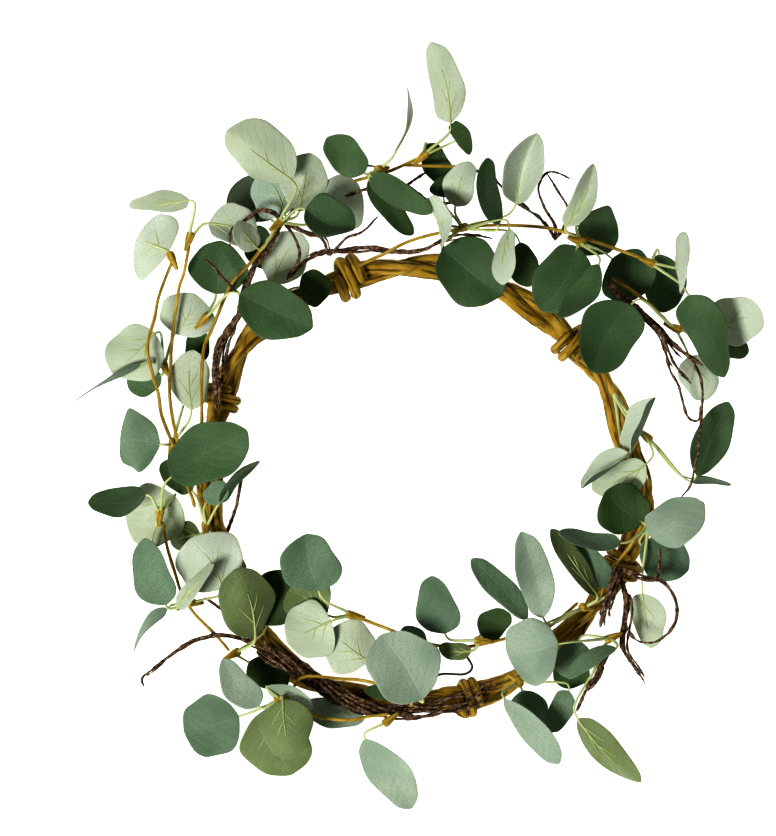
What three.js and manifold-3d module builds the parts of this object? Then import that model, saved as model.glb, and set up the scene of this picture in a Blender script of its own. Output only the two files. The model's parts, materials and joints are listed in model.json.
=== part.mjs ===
// A eucalyptus flower crown: a hoop of twisted paper-covered vine, bound with wrap knots,
// that carries wired sprays of leaves and dark twigs. It lies flat: +Z is up, z = 0 is the
// surface it rests on, and the Z axis runs through the middle of the head opening.

import * as THREE from 'three';
import { mergeVertices } from 'three/addons/utils/BufferGeometryUtils.js';
import Module from 'manifold-3d';

const wasm = await Module();
wasm.setup();

// Driving dimensions, in millimetres.
const GAP = 0.3;              // clearance between pieces that touch
const VINE_Z = 10.4;          // height of the hoop's centreline above the surface
const STRAND_R = 3.3;         // one paper-covered vine strand
const STRAND_OFFSET = 2.6;    // strand centre from the pair's centreline
const TWIST_PITCH = 85;       // length of vine for one turn of the pair
const KNOT_R = 8.6;           // wrap knot: middle radius of a loop
const KNOT_CORD_R = 1.7;      // wrap knot: radius of the wrapping vine
const KNOT_SPACING = 3.1;     // wrap knot: distance between its two loops
const STEM_R = 1.5;           // paper-taped spray stem
const COLLAR_R = 2.5;         // taped swelling where leaf stalks leave a stem
const STALK_R = 0.75;         // moulded leaf stalk
const LEAF_THICKNESS = 0.8;
const NARROW_LEAF = 18;       // narrower blades need fewer stations along their length

// Finishes: colour, roughness, metalness.
const FINISHES = {
  vine: ['#a8822c', 0.75, 0],
  stem: ['#b8963a', 0.7, 0],
  twig: ['#4a3026', 0.9, 0],
  wire: ['#1b1a18', 0.45, 0.6],
  leafDark: ['#40603a', 0.75, 0],
  leafTeal: ['#6f8f78', 0.75, 0],
  leafPale: ['#b3c29f', 0.8, 0],
};

const crown = new THREE.Group();

function material(finish) {
  const [color, roughness, metalness] = FINISHES[finish];
  return new THREE.MeshStandardMaterial({ color, roughness, metalness });
}

// A closed three.js geometry as a solid for joining and cutting.
function solidOf(geometry) {
  const bare = geometry.index ? geometry.toNonIndexed() : geometry;
  bare.deleteAttribute('normal');
  bare.deleteAttribute('uv');
  const merged = mergeVertices(bare, 1e-4);
  return new wasm.Manifold(new wasm.Mesh({
    numProp: 3,
    vertProperties: new Float32Array(merged.attributes.position.array),
    triVerts: new Uint32Array(merged.index.array),
  }));
}

function geometryOf(solid) {
  const mesh = solid.getMesh();
  const geometry = new THREE.BufferGeometry();
  geometry.setAttribute('position', new THREE.BufferAttribute(mesh.vertProperties.slice(), 3));
  geometry.setIndex(new THREE.BufferAttribute(mesh.triVerts.slice(), 1));
  return geometry.toNonIndexed();
}

const join = (solids) => solids.reduce((whole, next) => whole.add(next));

function add(name, finish, solid) {
  const geometry = geometryOf(solid);
  geometry.computeVertexNormals();
  const mesh = new THREE.Mesh(geometry, material(finish));
  mesh.name = name;
  crown.add(mesh);
}

const vectors = (points) => points.map((point) => new THREE.Vector3(...point));

// A round tube along a smooth curve through the points.
function tube(points, radius, sides = 5, stepLength = 9) {
  const curve = new THREE.CatmullRomCurve3(vectors(points), false, 'centripetal');
  const section = new THREE.Shape();
  for (let i = 0; i < sides; i += 1) {
    const angle = (2 * Math.PI * i) / sides;
    const corner = [radius * Math.cos(angle), radius * Math.sin(angle)];
    if (i === 0) section.moveTo(...corner);
    else section.lineTo(...corner);
  }
  const steps = Math.max(2, Math.round(curve.getLength() / stepLength));
  return solidOf(new THREE.ExtrudeGeometry(section, { steps, extrudePath: curve, bevelEnabled: false }));
}

// Vine ------------------------------------------------------------------------------------

// The two strands of a vine length wind round its centreline.
function strandPoints(curve, phase) {
  const length = curve.getLength();
  const count = Math.max(4, Math.round(length / 11));
  const points = [];
  for (let i = 0; i <= count; i += 1) {
    const centre = curve.getPointAt(i / count);
    const along = curve.getTangentAt(i / count);
    const side = new THREE.Vector3(0, 0, 1).cross(along).normalize();
    const turn = phase + (2 * Math.PI * length * i) / (count * TWIST_PITCH);
    centre.addScaledVector(side, STRAND_OFFSET * Math.cos(turn));
    centre.z += STRAND_OFFSET * Math.sin(turn);
    points.push(centre.toArray());
  }
  return points;
}

function vineLength(plan) {
  const points = plan.map(([x, y]) => new THREE.Vector3(x, y, VINE_Z));
  const curve = new THREE.CatmullRomCurve3(points, false, 'centripetal');
  return join([0, Math.PI].map((phase) => tube(strandPoints(curve, phase), STRAND_R, 5, 15)));
}

// A wrap knot is two turns of vine drawn tight round the hoop: a ring whose section has a crest
// for each turn and a groove between them.
function wrapKnot([x, y], headingDegrees) {
  const half = KNOT_SPACING / 2;
  const outer = KNOT_R + KNOT_CORD_R;
  const inner = KNOT_R - KNOT_CORD_R;
  const section = [
    [inner, -half], [KNOT_R, -half - KNOT_CORD_R], [outer, -half], [KNOT_R + 0.4 * KNOT_CORD_R, 0],
    [outer, half], [KNOT_R, half + KNOT_CORD_R], [inner, half], [inner, -half],
  ].map(([r, h]) => new THREE.Vector2(r, h));
  const ring = new THREE.LatheGeometry(section, 12);
  ring.rotateZ(-Math.PI / 2);
  ring.rotateZ(THREE.MathUtils.degToRad(headingDegrees));
  ring.translate(x, y, VINE_Z);
  return solidOf(ring);
}

const VINE = {
  vine_top: [[-36.5, 88.5], [-20, 92], [0, 93], [15, 90], [30, 83], [42, 75.5], [52, 68], [60, 60.5]],
  vine_right: [[60.7, 59.6], [70, 49], [77, 37], [81, 25], [85, 12], [89, 0], [90, -12], [87, -24],
    [82.2, -35]],
  vine_bottom_right: [[81.1, -37.4], [74, -47], [64, -60], [52, -72], [40, -82], [28, -89.5],
    [15.6, -93.5]],
  vine_bottom_left: [[14.2, -94], [0, -95], [-18, -96], [-38, -92], [-56, -85], [-70, -73],
    [-79, -58], [-85.5, -42]],
  vine_left_lower: [[-86, -40.5], [-91, -27], [-96, -14], [-97, 0], [-96, 18], [-92.3, 35.4]],
  vine_left_upper: [[-92, 36.8], [-87, 50], [-80, 62], [-71, 70], [-60, 78], [-48, 84], [-37.7, 88]],
};

const KNOTS = {
  knot_top_left: [[-37, 88.2], 18],
  knot_right_upper: [[60.4, 60], -46],
  knot_right_lower: [[81.8, -36], -116],
  knot_bottom: [[15, -93.8], 11],
  knot_left: [[-92.2, 36], 74],
};

// Stems: routes of x, y, z through the points; branches leave the same stem. ----------------

const STEMS = {
  stem_left_inner: [[[-100, 22, 24], [-100, 45, 27], [-99, 58, 26], [-96, 65, 25], [-92, 75, 24],
    [-89, 82, 25], [-85, 88, 27], [-80, 93, 30], [-75, 99, 33], [-70, 105, 36], [-66.5, 110.5, 38]]],
  stem_left_outer: [[[-103, -11, 24.5], [-104.5, -6, 25], [-107, 0, 26], [-109, 10, 27], [-111, 20, 27],
    [-113, 30, 27], [-114, 40, 25], [-113.5, 50, 24], [-113, 61, 23], [-110, 82, 28],
    [-107.5, 90, 31], [-105, 102, 34]]],
  stem_left_curl: [[[-111, 12, 20], [-117, 28, 28], [-118.5, 38, 32], [-121, 47, 35],
    [-123, 58, 37], [-120, 70, 38], [-118, 80, 36], [-112.5, 95, 33]]],
  stem_lower_left: [[[-117, -17, 26], [-115, -28, 25], [-112, -38, 25], [-108.5, -48.5, 25],
    [-103, -57, 25], [-95, -65, 25], [-88, -73, 25]]],
  stem_bottom_left: [
    [[-62, -91, 27], [-52, -100, 27], [-45, -102, 27], [-35, -102.5, 27], [-28, -101, 27],
      [-19, -100, 27.5]],
    [[-62, -91, 27], [-56, -84, 28.5], [-40, -84.7, 30], [-30, -85.5, 30], [-16, -89, 31]]],
  stem_bottom_front: [[[-33, -58, 36], [-20, -63, 34], [-10, -67, 32], [0, -70, 31], [10, -71, 30],
    [20, -70, 29], [40, -65, 28], [50, -62, 28], [62, -52, 27]]],
  stem_right_lower: [[[62, -61, 23], [68, -56, 23.5], [72, -50, 24], [74, -43, 24], [77, -37, 25],
    [83, -30, 25], [87, -24, 25], [90, -17, 24.5], [93, -8, 23], [93, 2, 22], [88, 15, 21]]],
  stem_top: [[[-33, 93, 23], [-22, 98, 26], [-12, 103, 29], [0, 106.5, 32], [20, 110, 34],
    [45, 109.5, 36], [60, 106, 37], [75, 101, 38], [90, 95.5, 40]]],
  stem_top_upper: [
    [[-35, 129, 36], [-20, 133, 39], [-6, 139, 42]],
    [[-14, 136, 40], [-6, 135.5, 41], [10, 135, 40], [20, 133, 38]]],
  stem_right_upper: [[[76, 88, 33], [88, 80, 34], [95, 74, 34], [102, 67, 34]]],
};

// Dark twigs: each branch is a radius and a route. -------------------------------------------

const TWIGS = {
  twig_top_left: [
    [1.5, [[-94, 28, 24], [-94, 40, 24.5], [-94.5, 50, 23], [-93, 58, 22], [-89, 65, 21.5],
      [-84, 73, 22], [-82, 82, 23], [-78, 92, 25], [-72, 100, 26], [-65, 112, 27], [-56, 121, 22]]],
    [0.9, [[-94, 40, 24.5], [-91, 46, 21], [-89, 58, 20], [-86, 66, 21], [-84, 73, 22]]],
    [0.9, [[-65, 112, 27], [-60, 105, 28], [-58, 98, 29], [-60, 92, 28], [-63, 87, 27]]],
    [0.9, [[-65, 112, 27], [-69, 116, 38], [-75, 116.5, 38], [-80, 113, 37.5], [-87, 108, 38.5],
      [-87, 100, 38.5]]],
    [0.9, [[-65, 112, 27], [-55, 107, 28], [-50, 106, 28], [-47, 103, 28], [-45, 98, 28],
      [-38, 105, 30], [-32, 107, 32], [-24, 114, 33]]],
    [0.8, [[-83, 80, 23], [-88, 85, 36], [-98.5, 96, 42]]]],
  twig_top_cross: [
    [1.1, [[-62, 88, 23.5], [-57, 94, 24], [-50, 98, 23], [-40, 100, 21.5], [-28, 101, 20],
      [-16, 99, 21], [-5, 100, 23], [6, 105, 26], [15, 106.5, 28], [25, 104.5, 28]]]],
  twig_upper: [
    [1.0, [[-38, 123, 33], [-28, 126, 35], [-20, 128, 35], [-12, 127, 35], [-4, 122, 35],
      [3, 119.5, 36], [11, 120.5, 36]]],
    [0.8, [[-12, 127, 35], [-8, 130, 36], [-3, 133, 36]]],
    [0.7, [[-20, 128, 35], [-21.5, 131.5, 34], [-24, 134.5, 35], [-29, 135.5, 38], [-36, 132.5, 40]]]],
  twig_top_right: [
    [0.8, [[52, 104, 29], [47, 112, 32], [41, 116, 40], [35, 119.5, 42]]],
    [0.8, [[52, 104, 29], [52, 110, 31], [46, 120, 38], [45, 127, 40], [48, 132, 41],
      [52, 132.5, 40], [58, 130, 38]]],
    [0.8, [[52, 104, 29], [56, 110, 33], [57, 117, 37], [53, 125, 40], [48, 132, 41]]],
    [0.8, [[41, 116, 40], [34, 123, 41], [28, 128, 40], [25, 132, 40]]]],
  twig_right: [
    [1.4, [[74, 86, 39], [83, 78, 41], [90, 72, 42], [97, 65, 42], [105, 57, 42], [115, 50, 42]]],
    [0.9, [[83, 78, 41], [90, 70, 46], [96, 65, 46], [99, 58, 46], [103, 50, 45], [110, 42, 43]]],
    [0.8, [[97, 65, 42], [101, 48, 44], [105, 40, 42], [107, 32, 40], [110, 27, 38],
      [113.5, 27, 38], [114, 33, 38]]],
    [0.8, [[110, 53.5, 42], [114, 43, 45], [114, 30, 48], [112.5, 15, 48], [110, 0, 43],
      [106, -6, 39]]]],
  twig_lower_right: [
    [1.6, [[79, -37, 31], [77, -45, 35], [74, -54, 34], [72, -64, 30]]],
    [1.3, [[79, -37, 31], [82, -48, 29], [82, -60, 28], [81, -71, 27], [86, -79, 25], [91, -87, 22]]],
    [0.9, [[79, -37, 31], [88, -41, 34], [98, -43, 36], [104, -52, 37], [103, -61, 37],
      [96, -68, 36], [87, -68, 34], [82, -60, 28]]],
    [0.9, [[88, -41, 34], [95, -42, 33], [97, -36, 33], [97, -28, 33]]]],
  twig_bottom_right: [[1.3, [[75, -73, 29], [70, -82, 36], [66, -88, 38], [61, -98.5, 38]]]],
  twig_rope: [
    [2.2, [[-78, -69, 22.5], [-70, -75, 21.5], [-60, -80, 21.3], [-50, -87, 21.3], [-40, -93, 21.3],
      [-30, -97, 21.3], [-15, -99, 21.3], [0, -98, 21.8], [14, -93.5, 23.8], [25, -87, 21.5],
      [33, -82, 21]]],
    [1.0, [[-78, -69, 22.5], [-90, -66, 29], [-97, -66, 30], [-106, -69, 30], [-118, -78, 30],
      [-125.5, -84, 29], [-125, -88, 28]]],
    [0.9, [[-78, -69, 22.5], [-85, -60, 25], [-99, -49.5, 26.5]]]],
  twig_left_inner: [
    [0.9, [[-89, -22, 18.5], [-85, -8, 15], [-82, 7, 17]]]],
};

const HOOK_WIRE = [[-3, -86, 19.5], [3.5, -83, 21], [13, -83, 22], [16.5, -80, 22.5], [14, -75, 23]];

// Leaves ------------------------------------------------------------------------------------

// Half the width of a blade at the fraction s of its length: full and rounded, with a short
// point at the tip.
const halfWidth = (s, width) => STALK_R + (width / 2 - STALK_R) * Math.sin(Math.PI * s ** 0.85) ** 0.62;

// The stations of a leaf from its collar to its tip: place, heading, half width, half thickness.
function leafStations(start, base, tip, width) {
  const along = tip.clone().sub(base).normalize();
  const bow = start.clone().lerp(base, 0.55);
  bow.z += 0.06 * start.distanceTo(base);
  const stalk = [start, bow].map((at) => ({
    at, heading: base.clone().sub(start).normalize(), half: STALK_R, thick: STALK_R,
  }));
  const fractions = width < NARROW_LEAF ? [0, 0.3, 0.75, 0.97] : [0, 0.18, 0.5, 0.84, 0.98];
  const blade = fractions.map((s) => ({
    at: base.clone().lerp(tip, s), heading: along, half: halfWidth(s, width), thick: LEAF_THICKNESS / 2,
  }));
  return [...stalk, ...blade];
}

// One leaf in one piece: a stalk that leaves the collar, bows, and widens into the blade. The
// blade is folded along its midrib by `fold` degrees a side and rolled about it by `roll`.
function leafSolid(collar, { base, tip, width, roll, fold }, inset, grow) {
  const [root, neck, end] = vectors([collar, base, tip]);
  const start = root.clone().add(neck.clone().sub(root).setLength(inset));
  const stations = leafStations(start, neck, end, width);
  const along = end.clone().sub(neck).normalize();
  const left = new THREE.Vector3(0, 0, 1).cross(along).normalize();
  left.applyAxisAngle(along, THREE.MathUtils.degToRad(roll));
  const up = along.clone().cross(left);
  const segments = stations.length - 1;
  const geometry = new THREE.BoxGeometry(1, 2, 2, segments, 2, 1);
  const position = geometry.attributes.position;
  for (let i = 0; i < position.count; i += 1) {
    const index = Math.round((position.getX(i) + 0.5) * segments);
    const { at, heading, half, thick } = stations[index];
    const turn = new THREE.Quaternion().setFromUnitVectors(along, heading);
    const side = position.getY(i) * (half + grow);
    const bend = half > STALK_R ? THREE.MathUtils.degToRad(fold) : 0;
    const ends = index === 0 ? -grow : (index === segments ? grow : 0);
    const corner = left.clone().multiplyScalar(side * Math.cos(bend));
    corner.addScaledVector(up, position.getZ(i) * (thick + grow) + Math.abs(side) * Math.sin(bend));
    corner.addScaledVector(along, ends).applyQuaternion(turn).add(at);
    position.setXYZ(i, corner.x, corner.y, corner.z);
  }
  return solidOf(geometry);
}

function collarKnob(at, grow = 0) {
  const knob = new THREE.IcosahedronGeometry(COLLAR_R + grow);
  knob.translate(...at);
  return solidOf(knob);
}

const leaf = (base, tip, width, roll = 0, fold = 15) => ({ base, tip, width, roll, fold });

// Sprigs: the taped collar where the stalks meet, a finish, and the leaves on it.
const SPRIGS = {
  sprig_top_left: [[-66.5, 111, 41.5], 'leafPale', [
    leaf([-60.5, 129, 48], [-88.5, 150, 56], 30, -28, -28),
    leaf([-55, 117, 46], [-34, 108, 52], 24, -30, 30),
    leaf([-58, 116, 36], [-53, 141, 40], 21, 15, -12),
    leaf([-64, 115, 31], [-74, 134, 25], 24, -5, -8),
    leaf([-70, 113, 29], [-84, 131, 8], 20, 0, 10),
    leaf([-52, 112, 34], [-33, 129, 27], 25, 0, -8),
    leaf([-76, 100, 42], [-85, 111, 45], 14, 40, -8)]],
  sprig_left_top: [[-105, 104.5, 35], 'leafPale', [
    leaf([-105, 121, 41], [-131, 118, 37], 18, -62, -8),
    leaf([-97, 111, 34], [-76, 106, 28], 22, -18, 30)]],
  sprig_left_curl: [[-112.7, 96.2, 33], 'leafPale', [
    leaf([-114, 99, 33], [-129, 105, 12], 31, 0, -10)]],
  sprig_left_upper: [[-99.2, 70, 25], 'leafDark', [
    leaf([-94, 81, 20.5], [-92, 104, 23], 26, 0, 12),
    leaf([-83.5, 81, 35], [-52, 66, 40], 25, 0, 16)]],
  sprig_left_shadow: [[-68, 80, 18], 'leafDark', [
    leaf([-70, 86, 18.5], [-57, 107, 19], 21, 0, -6),
    leaf([-58, 84, 20.5], [-44, 84, 23], 16, 0, 8),
    leaf([-73, 92, 13], [-76, 111, 11], 13, 0, 8)]],
  sprig_left_mid: [[-116.5, 50, 18], 'leafPale', [
    leaf([-112, 64, 18.5], [-103, 81, 20], 25, 5, -8),
    leaf([-120, 64, 29], [-139, 47, 23], 26, 5, -10),
    leaf([-126, 50.5, 34], [-155, 34.5, 26], 8, 76, 4),
    leaf([-118, 46, 14], [-133, 42, 8], 15, 0, 8)]],
  sprig_left_low: [[-113, 16, 18], 'leafTeal', [
    leaf([-118, 16, 25], [-136, 17, 10], 27, 0, 10),
    leaf([-104.5, 31, 21.8], [-104, 57, 21.8], 18, 0, 0),
    leaf([-104, 50, 14], [-101, 66, 12], 11, 0, 6)]],
  sprig_left_big: [[-118, -13.5, 27], 'leafTeal', [
    leaf([-124, -5.5, 31], [-149, -9, 28], 17, 42, 10),
    leaf([-112, -6, 21], [-130, -26, 14], 28, 0, -8),
    leaf([-113, 2, 36], [-80, 22, 42], 26, 0, 14),
    leaf([-121.5, -28, 18], [-119, -43, 11], 10, 70, 4)]],
  sprig_left_inner: [[-98.5, -20, 18], 'leafDark', [
    leaf([-104.5, -4, 17], [-118, 8, 14], 13, 0, 8),
    leaf([-98, -9, 24], [-90, 0, 27], 10, 0, 10),
    leaf([-101, -23, 16], [-114, -27, 6], 14, 0, -8),
    leaf([-92, -9, 25], [-75, 9, 30], 9, 60, 8)]],
  sprig_lower_left: [[-104, -52, 29.5], 'leafPale', [
    leaf([-91, -46, 31], [-104.5, -24, 35], 31, 0, -10),
    leaf([-110, -54, 38], [-94, -35, 43], 12, -58, 6),
    leaf([-115.5, -53, 32], [-124, -24, 37], 20, -25, 14),
    leaf([-115, -54.5, 27], [-129.5, -73, 20], 11, 68, 6)]],
  sprig_lower_left_inner: [[-86, -74, 27], 'leafPale', [
    leaf([-77, -67, 31], [-85, -37, 40], 28, 28, -14),
    leaf([-72, -62, 23], [-66, -38, 20.5], 20, 0, 6),
    leaf([-80, -78, 19], [-63, -88, 16], 15, 0, 6)]],
  sprig_bottom_left: [[-66, -93.5, 30], 'leafTeal', [
    leaf([-72, -88, 33], [-52, -97, 34], 14, 50, 8),
    leaf([-84, -101, 26], [-108, -108, 20], 28, 0, 12),
    leaf([-75.5, -96.5, 32], [-91, -76, 37], 14, 8, 8),
    leaf([-64.8, -93, 40], [-61, -118.5, 46], 24, 12, -16),
    leaf([-71, -97, 26], [-62, -127, 18], 31, 0, -10),
    leaf([-56, -96, 21], [-30, -103, 14], 13, 0, 6)]],
  sprig_bottom_mid: [[-35, -57, 38.5], 'leafPale', [
    leaf([-44, -59.5, 40], [-63, -69, 36], 27, 0, -14),
    leaf([-46, -57, 34], [-63, -47, 27], 22, 0, 8),
    leaf([-49.5, -46.5, 44], [-55, -22, 49], 27, 0, 16)]],
  sprig_bottom_front: [[-11, -91, 32.5], 'leafTeal', [
    leaf([-5, -93, 43], [-23, -65, 49], 32, 0, 14),
    leaf([-28, -77, 36], [-44, -63, 34], 25, 0, -14),
    leaf([-5, -76, 33], [-13, -62, 35], 13, 0, 8),
    leaf([-14, -90, 26], [-30, -90, 25.5], 7, 0, 6)]],
  sprig_bottom_tail: [[-19.6, -102.8, 27.5], 'leafTeal', [
    leaf([-30, -110.5, 29], [-9.5, -141, 22], 21, 30, 12)]],
  sprig_bottom_inner: [[20, -68.3, 33.2], 'leafTeal', [
    leaf([4.5, -65, 36], [-1, -40, 42], 19, -20, 14),
    leaf([16, -72.5, 33], [2, -71, 35], 8, 0, 8),
    leaf([20, -66, 27], [33, -57, 26], 13, 0, 8)]],
  sprig_lower_right_inner: [[65, -54, 29.5], 'leafTeal', [
    leaf([70, -49, 34], [50, -20, 38], 13, 42, 12),
    leaf([77, -45, 29.5], [52, -25, 25], 15, 0, 8),
    leaf([46.5, -58, 44], [37, -21, 50], 16, 0, 14),
    leaf([40, -59, 32], [16, -33, 33], 12, 20, 10)]],
  sprig_lower_right_mid: [[76, -67, 33], 'leafTeal', [
    leaf([53, -69, 48], [31, -73, 37], 30, 0, 12),
    leaf([62, -68, 31], [56, -84, 29], 14, 0, 8),
    leaf([78, -71, 39], [57, -84, 40], 10, 45, 8),
    leaf([66, -78, 19], [52, -86, 16], 14, 0, 6)]],
  sprig_bottom_right: [[36, -86, 24], 'leafTeal', [
    leaf([58, -90, 27], [49.5, -108, 22], 11, 12, 8),
    leaf([38, -90, 23], [43, -108, 18], 17, 0, 8),
    leaf([30, -93, 37], [54, -121, 32], 16, 42, 12)]],
  sprig_bottom_right_tail: [[71, -77, 25], 'leafPale', [
    leaf([62, -102, 27], [89.5, -130, 18], 17, 40, -14)]],
  sprig_right_lower: [[92, -19.5, 28.5], 'leafDark', [
    leaf([90, -17.5, 30], [73.5, -4, 33.5], 24, 0, 10),
    leaf([91, -21.5, 42], [115.5, -9, 47], 21, 0, 14),
    leaf([89, -27, 28], [110, -38, 22], 21, 0, 10),
    leaf([80, -26, 36], [53, -21.5, 40], 12, 48, 10),
    leaf([90, -48, 26], [94, -72, 18], 19, 38, -12)]],
  sprig_right_inner: [[77, 40, 24.5], 'leafPale', [
    leaf([84, 12, 38], [94.8, 36.5, 42], 20, -58, 58),
    leaf([83.5, 12.5, 41], [62.7, -2.8, 43], 17, 54, 54),
    leaf([91, 7.5, 31], [68, -3.5, 24], 15, 0, -6)]],
  sprig_right_outer: [[91.5, 19.5, 24], 'leafDark', [
    leaf([113, 2.5, 34], [126, 34.5, 40], 17, 14, 12),
    leaf([111, 1, 30], [128, -1.5, 26], 9, 70, 6)]],
  sprig_right_top: [[92.5, 94, 42.5], 'leafDark', [
    leaf([97, 98, 24], [99.5, 73, 15], 18, 0, 8),
    leaf([104, 91.5, 45], [107, 91.5, 68], 27, 0, -10),
    leaf([108.5, 80, 46], [123.7, 44.8, 51], 20, 30, 14)]],
  sprig_right_mid: [[103.5, 66, 36.5], 'leafPale', [
    leaf([118, 66, 38], [139.5, 73, 51], 22, 0, -14),
    leaf([119, 61, 27], [136, 56, 20], 11, 0, 10),
    leaf([109.5, 54, 34], [117, 35, 31], 17, 0, -12),
    leaf([84, 76, 50], [67, 47, 55], 27, 0, 16)]],
  sprig_top_right: [[62, 103, 42.3], 'leafDark', [
    leaf([62, 110, 35.5], [79.5, 104.5, 24], 23, 0, 8),
    leaf([61, 101, 43], [46, 73, 46], 26, 0, 14),
    leaf([70, 93, 51], [53, 70, 55], 15, 42, 12),
    leaf([76.5, 96, 31], [92, 82, 28], 26, 0, 6),
    leaf([56, 109.5, 44], [68, 136, 49], 14, 0, 42)]],
  sprig_top_mid: [[12, 109, 38], 'leafDark', [
    leaf([3.5, 100, 42], [29, 80, 47], 29, 0, 16),
    leaf([32, 108, 56], [29, 84, 60], 13, 42, -8),
    leaf([1.5, 111, 41], [7.5, 112.5, 62], 25, 0, 18),
    leaf([37, 103, 29], [41, 84, 25], 13, 0, 8),
    leaf([9, 118, 44], [15, 137, 49], 14, 0, -12),
    leaf([27.5, 110, 46], [22.5, 138.5, 51], 14, 42, 8),
    leaf([4, 122, 41], [4, 131, 44], 11, 0, 8),
    leaf([35, 119, 45], [44, 149, 50], 29, 0, 55)]],
  sprig_top: [[-4.8, 139.6, 42.8], 'leafPale', [
    leaf([7, 153.5, 49], [-1.5, 187.5, 57], 16, -20, -14),
    leaf([9, 146, 46], [15, 149, 58], 16, 0, 12),
    leaf([-3, 145, 38], [8, 127, 33.5], 12, 0, 8)]],
  sprig_top_inner: [[-23, 134, 42.5], 'leafDark', [
    leaf([-30, 132, 47], [-46, 147, 51], 17, -25, 14),
    leaf([-28, 129.5, 42.5], [-9, 106, 37], 10, 0, 12),
    leaf([-27.5, 131, 47.5], [-1, 115, 51], 13, 30, 12),
    leaf([-17, 141, 46], [-11.5, 168.5, 51], 11, 82, 6)]],
};

// Sprigs whose wired stalk bends at its collar keep a wider gap there and no knob.
const BENDING = new Set(['sprig_left_curl', 'sprig_bottom_tail', 'sprig_bottom_right_tail', 'sprig_top']);

function sprig([collar, , leaves], bends, grow = 0) {
  const inset = bends ? 0 : COLLAR_R / 2;
  const solids = leaves.map((one) => leafSolid(collar, one, inset, grow));
  return join(bends ? solids : [collarKnob(collar, grow), ...solids]);
}

// The biggest piece that is left when a solid is cut back from its neighbours.
function largest(solid) {
  return solid.decompose().reduce((best, next) => (next.volume() > best.volume() ? next : best));
}

function overlaps(a, b) {
  const [p, q] = [a.boundingBox(), b.boundingBox()];
  return [0, 1, 2].every((i) => p.min[i] <= q.max[i] && q.min[i] <= p.max[i]);
}

// Builds the pieces in order; each is cut back by GAP from those already in place.
const placed = [];

function place(name, finish, make) {
  let solid = make(0);
  placed.filter((other) => overlaps(solid, other)).forEach((other) => {
    solid = solid.subtract(other);
  });
  add(name, finish, largest(solid));
  placed.push(make(GAP));
}

Object.entries(VINE).forEach(([name, plan]) => {
  const solid = vineLength(plan);
  add(name, 'vine', solid);
  placed.push(solid);
});
Object.entries(KNOTS).forEach(([name, [at, heading]]) => {
  const solid = wrapKnot(at, heading);
  add(name, 'vine', solid);
  placed.push(solid);
});
Object.entries(STEMS).forEach(([name, routes]) => place(name, 'stem', (grow) => (
  join(routes.map((route) => tube(route, STEM_R + grow))))));
Object.entries(TWIGS).forEach(([name, branches]) => place(name, 'twig', (grow) => (
  join(branches.map(([radius, route]) => tube(route, radius + grow, 4))))));
place('hook_wire', 'wire', (grow) => tube(HOOK_WIRE, 0.8 + grow, 4, 6));
Object.entries(SPRIGS).forEach(([name, row]) => place(name, row[1], (grow) => (
  sprig(row, BENDING.has(name), grow))));

export default crown;
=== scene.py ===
"""A eucalyptus flower crown: a hoop of twisted paper-covered vine, bound with wrap knots, that
carries wired sprays of cloth leaves and thin dark twigs. The crown lies flat on a pale floor."""

from __future__ import annotations

import json
import logging
import math
import random
from dataclasses import dataclass, field
from enum import Enum
from functools import partial
from typing import Callable, Iterable, Sequence

import bmesh
import bpy
from mathutils import Matrix, Quaternion, Vector, noise

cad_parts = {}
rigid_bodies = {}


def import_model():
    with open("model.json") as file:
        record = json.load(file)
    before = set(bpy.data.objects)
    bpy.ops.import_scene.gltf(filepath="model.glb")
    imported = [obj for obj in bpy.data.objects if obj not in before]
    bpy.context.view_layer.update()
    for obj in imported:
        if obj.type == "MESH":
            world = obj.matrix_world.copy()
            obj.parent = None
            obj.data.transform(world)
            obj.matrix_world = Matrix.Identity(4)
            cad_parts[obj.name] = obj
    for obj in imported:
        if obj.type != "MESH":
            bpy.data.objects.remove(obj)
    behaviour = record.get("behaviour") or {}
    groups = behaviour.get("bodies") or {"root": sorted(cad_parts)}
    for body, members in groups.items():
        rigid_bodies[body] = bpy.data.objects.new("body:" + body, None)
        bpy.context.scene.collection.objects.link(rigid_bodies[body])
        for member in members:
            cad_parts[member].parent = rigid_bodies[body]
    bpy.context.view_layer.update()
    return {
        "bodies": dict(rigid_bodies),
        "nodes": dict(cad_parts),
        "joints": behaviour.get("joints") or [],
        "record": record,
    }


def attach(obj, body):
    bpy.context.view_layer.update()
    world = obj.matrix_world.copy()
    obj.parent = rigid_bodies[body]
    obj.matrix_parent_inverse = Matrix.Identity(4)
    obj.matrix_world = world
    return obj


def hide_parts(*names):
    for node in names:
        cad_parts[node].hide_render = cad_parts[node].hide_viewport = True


LOG = logging.getLogger("flower_crown")
MM = 0.001
UP = Vector((0.0, 0.0, 1.0))
SWELL_PER_M, CREASE_PER_M = 300.0, 850.0  # how often wound paper and bark swell and crease
Point = tuple[float, float, float]


# Finishes --------------------------------------------------------------------------------------


def linear(hex_colour: str) -> tuple[float, float, float, float]:
    """Turn an sRGB hex colour to the linear values that Blender's shaders take.

    Args:
        hex_colour: Six hex digits after a hash.

    Returns:
        Linear red, green and blue, then 1 for alpha.
    """
    values = [int(hex_colour[i : i + 2], 16) / 255 for i in (1, 3, 5)]
    red, green, blue = (v / 12.92 if v <= 0.04045 else ((v + 0.055) / 1.055) ** 2.4 for v in values)
    return red, green, blue, 1.0


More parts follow.
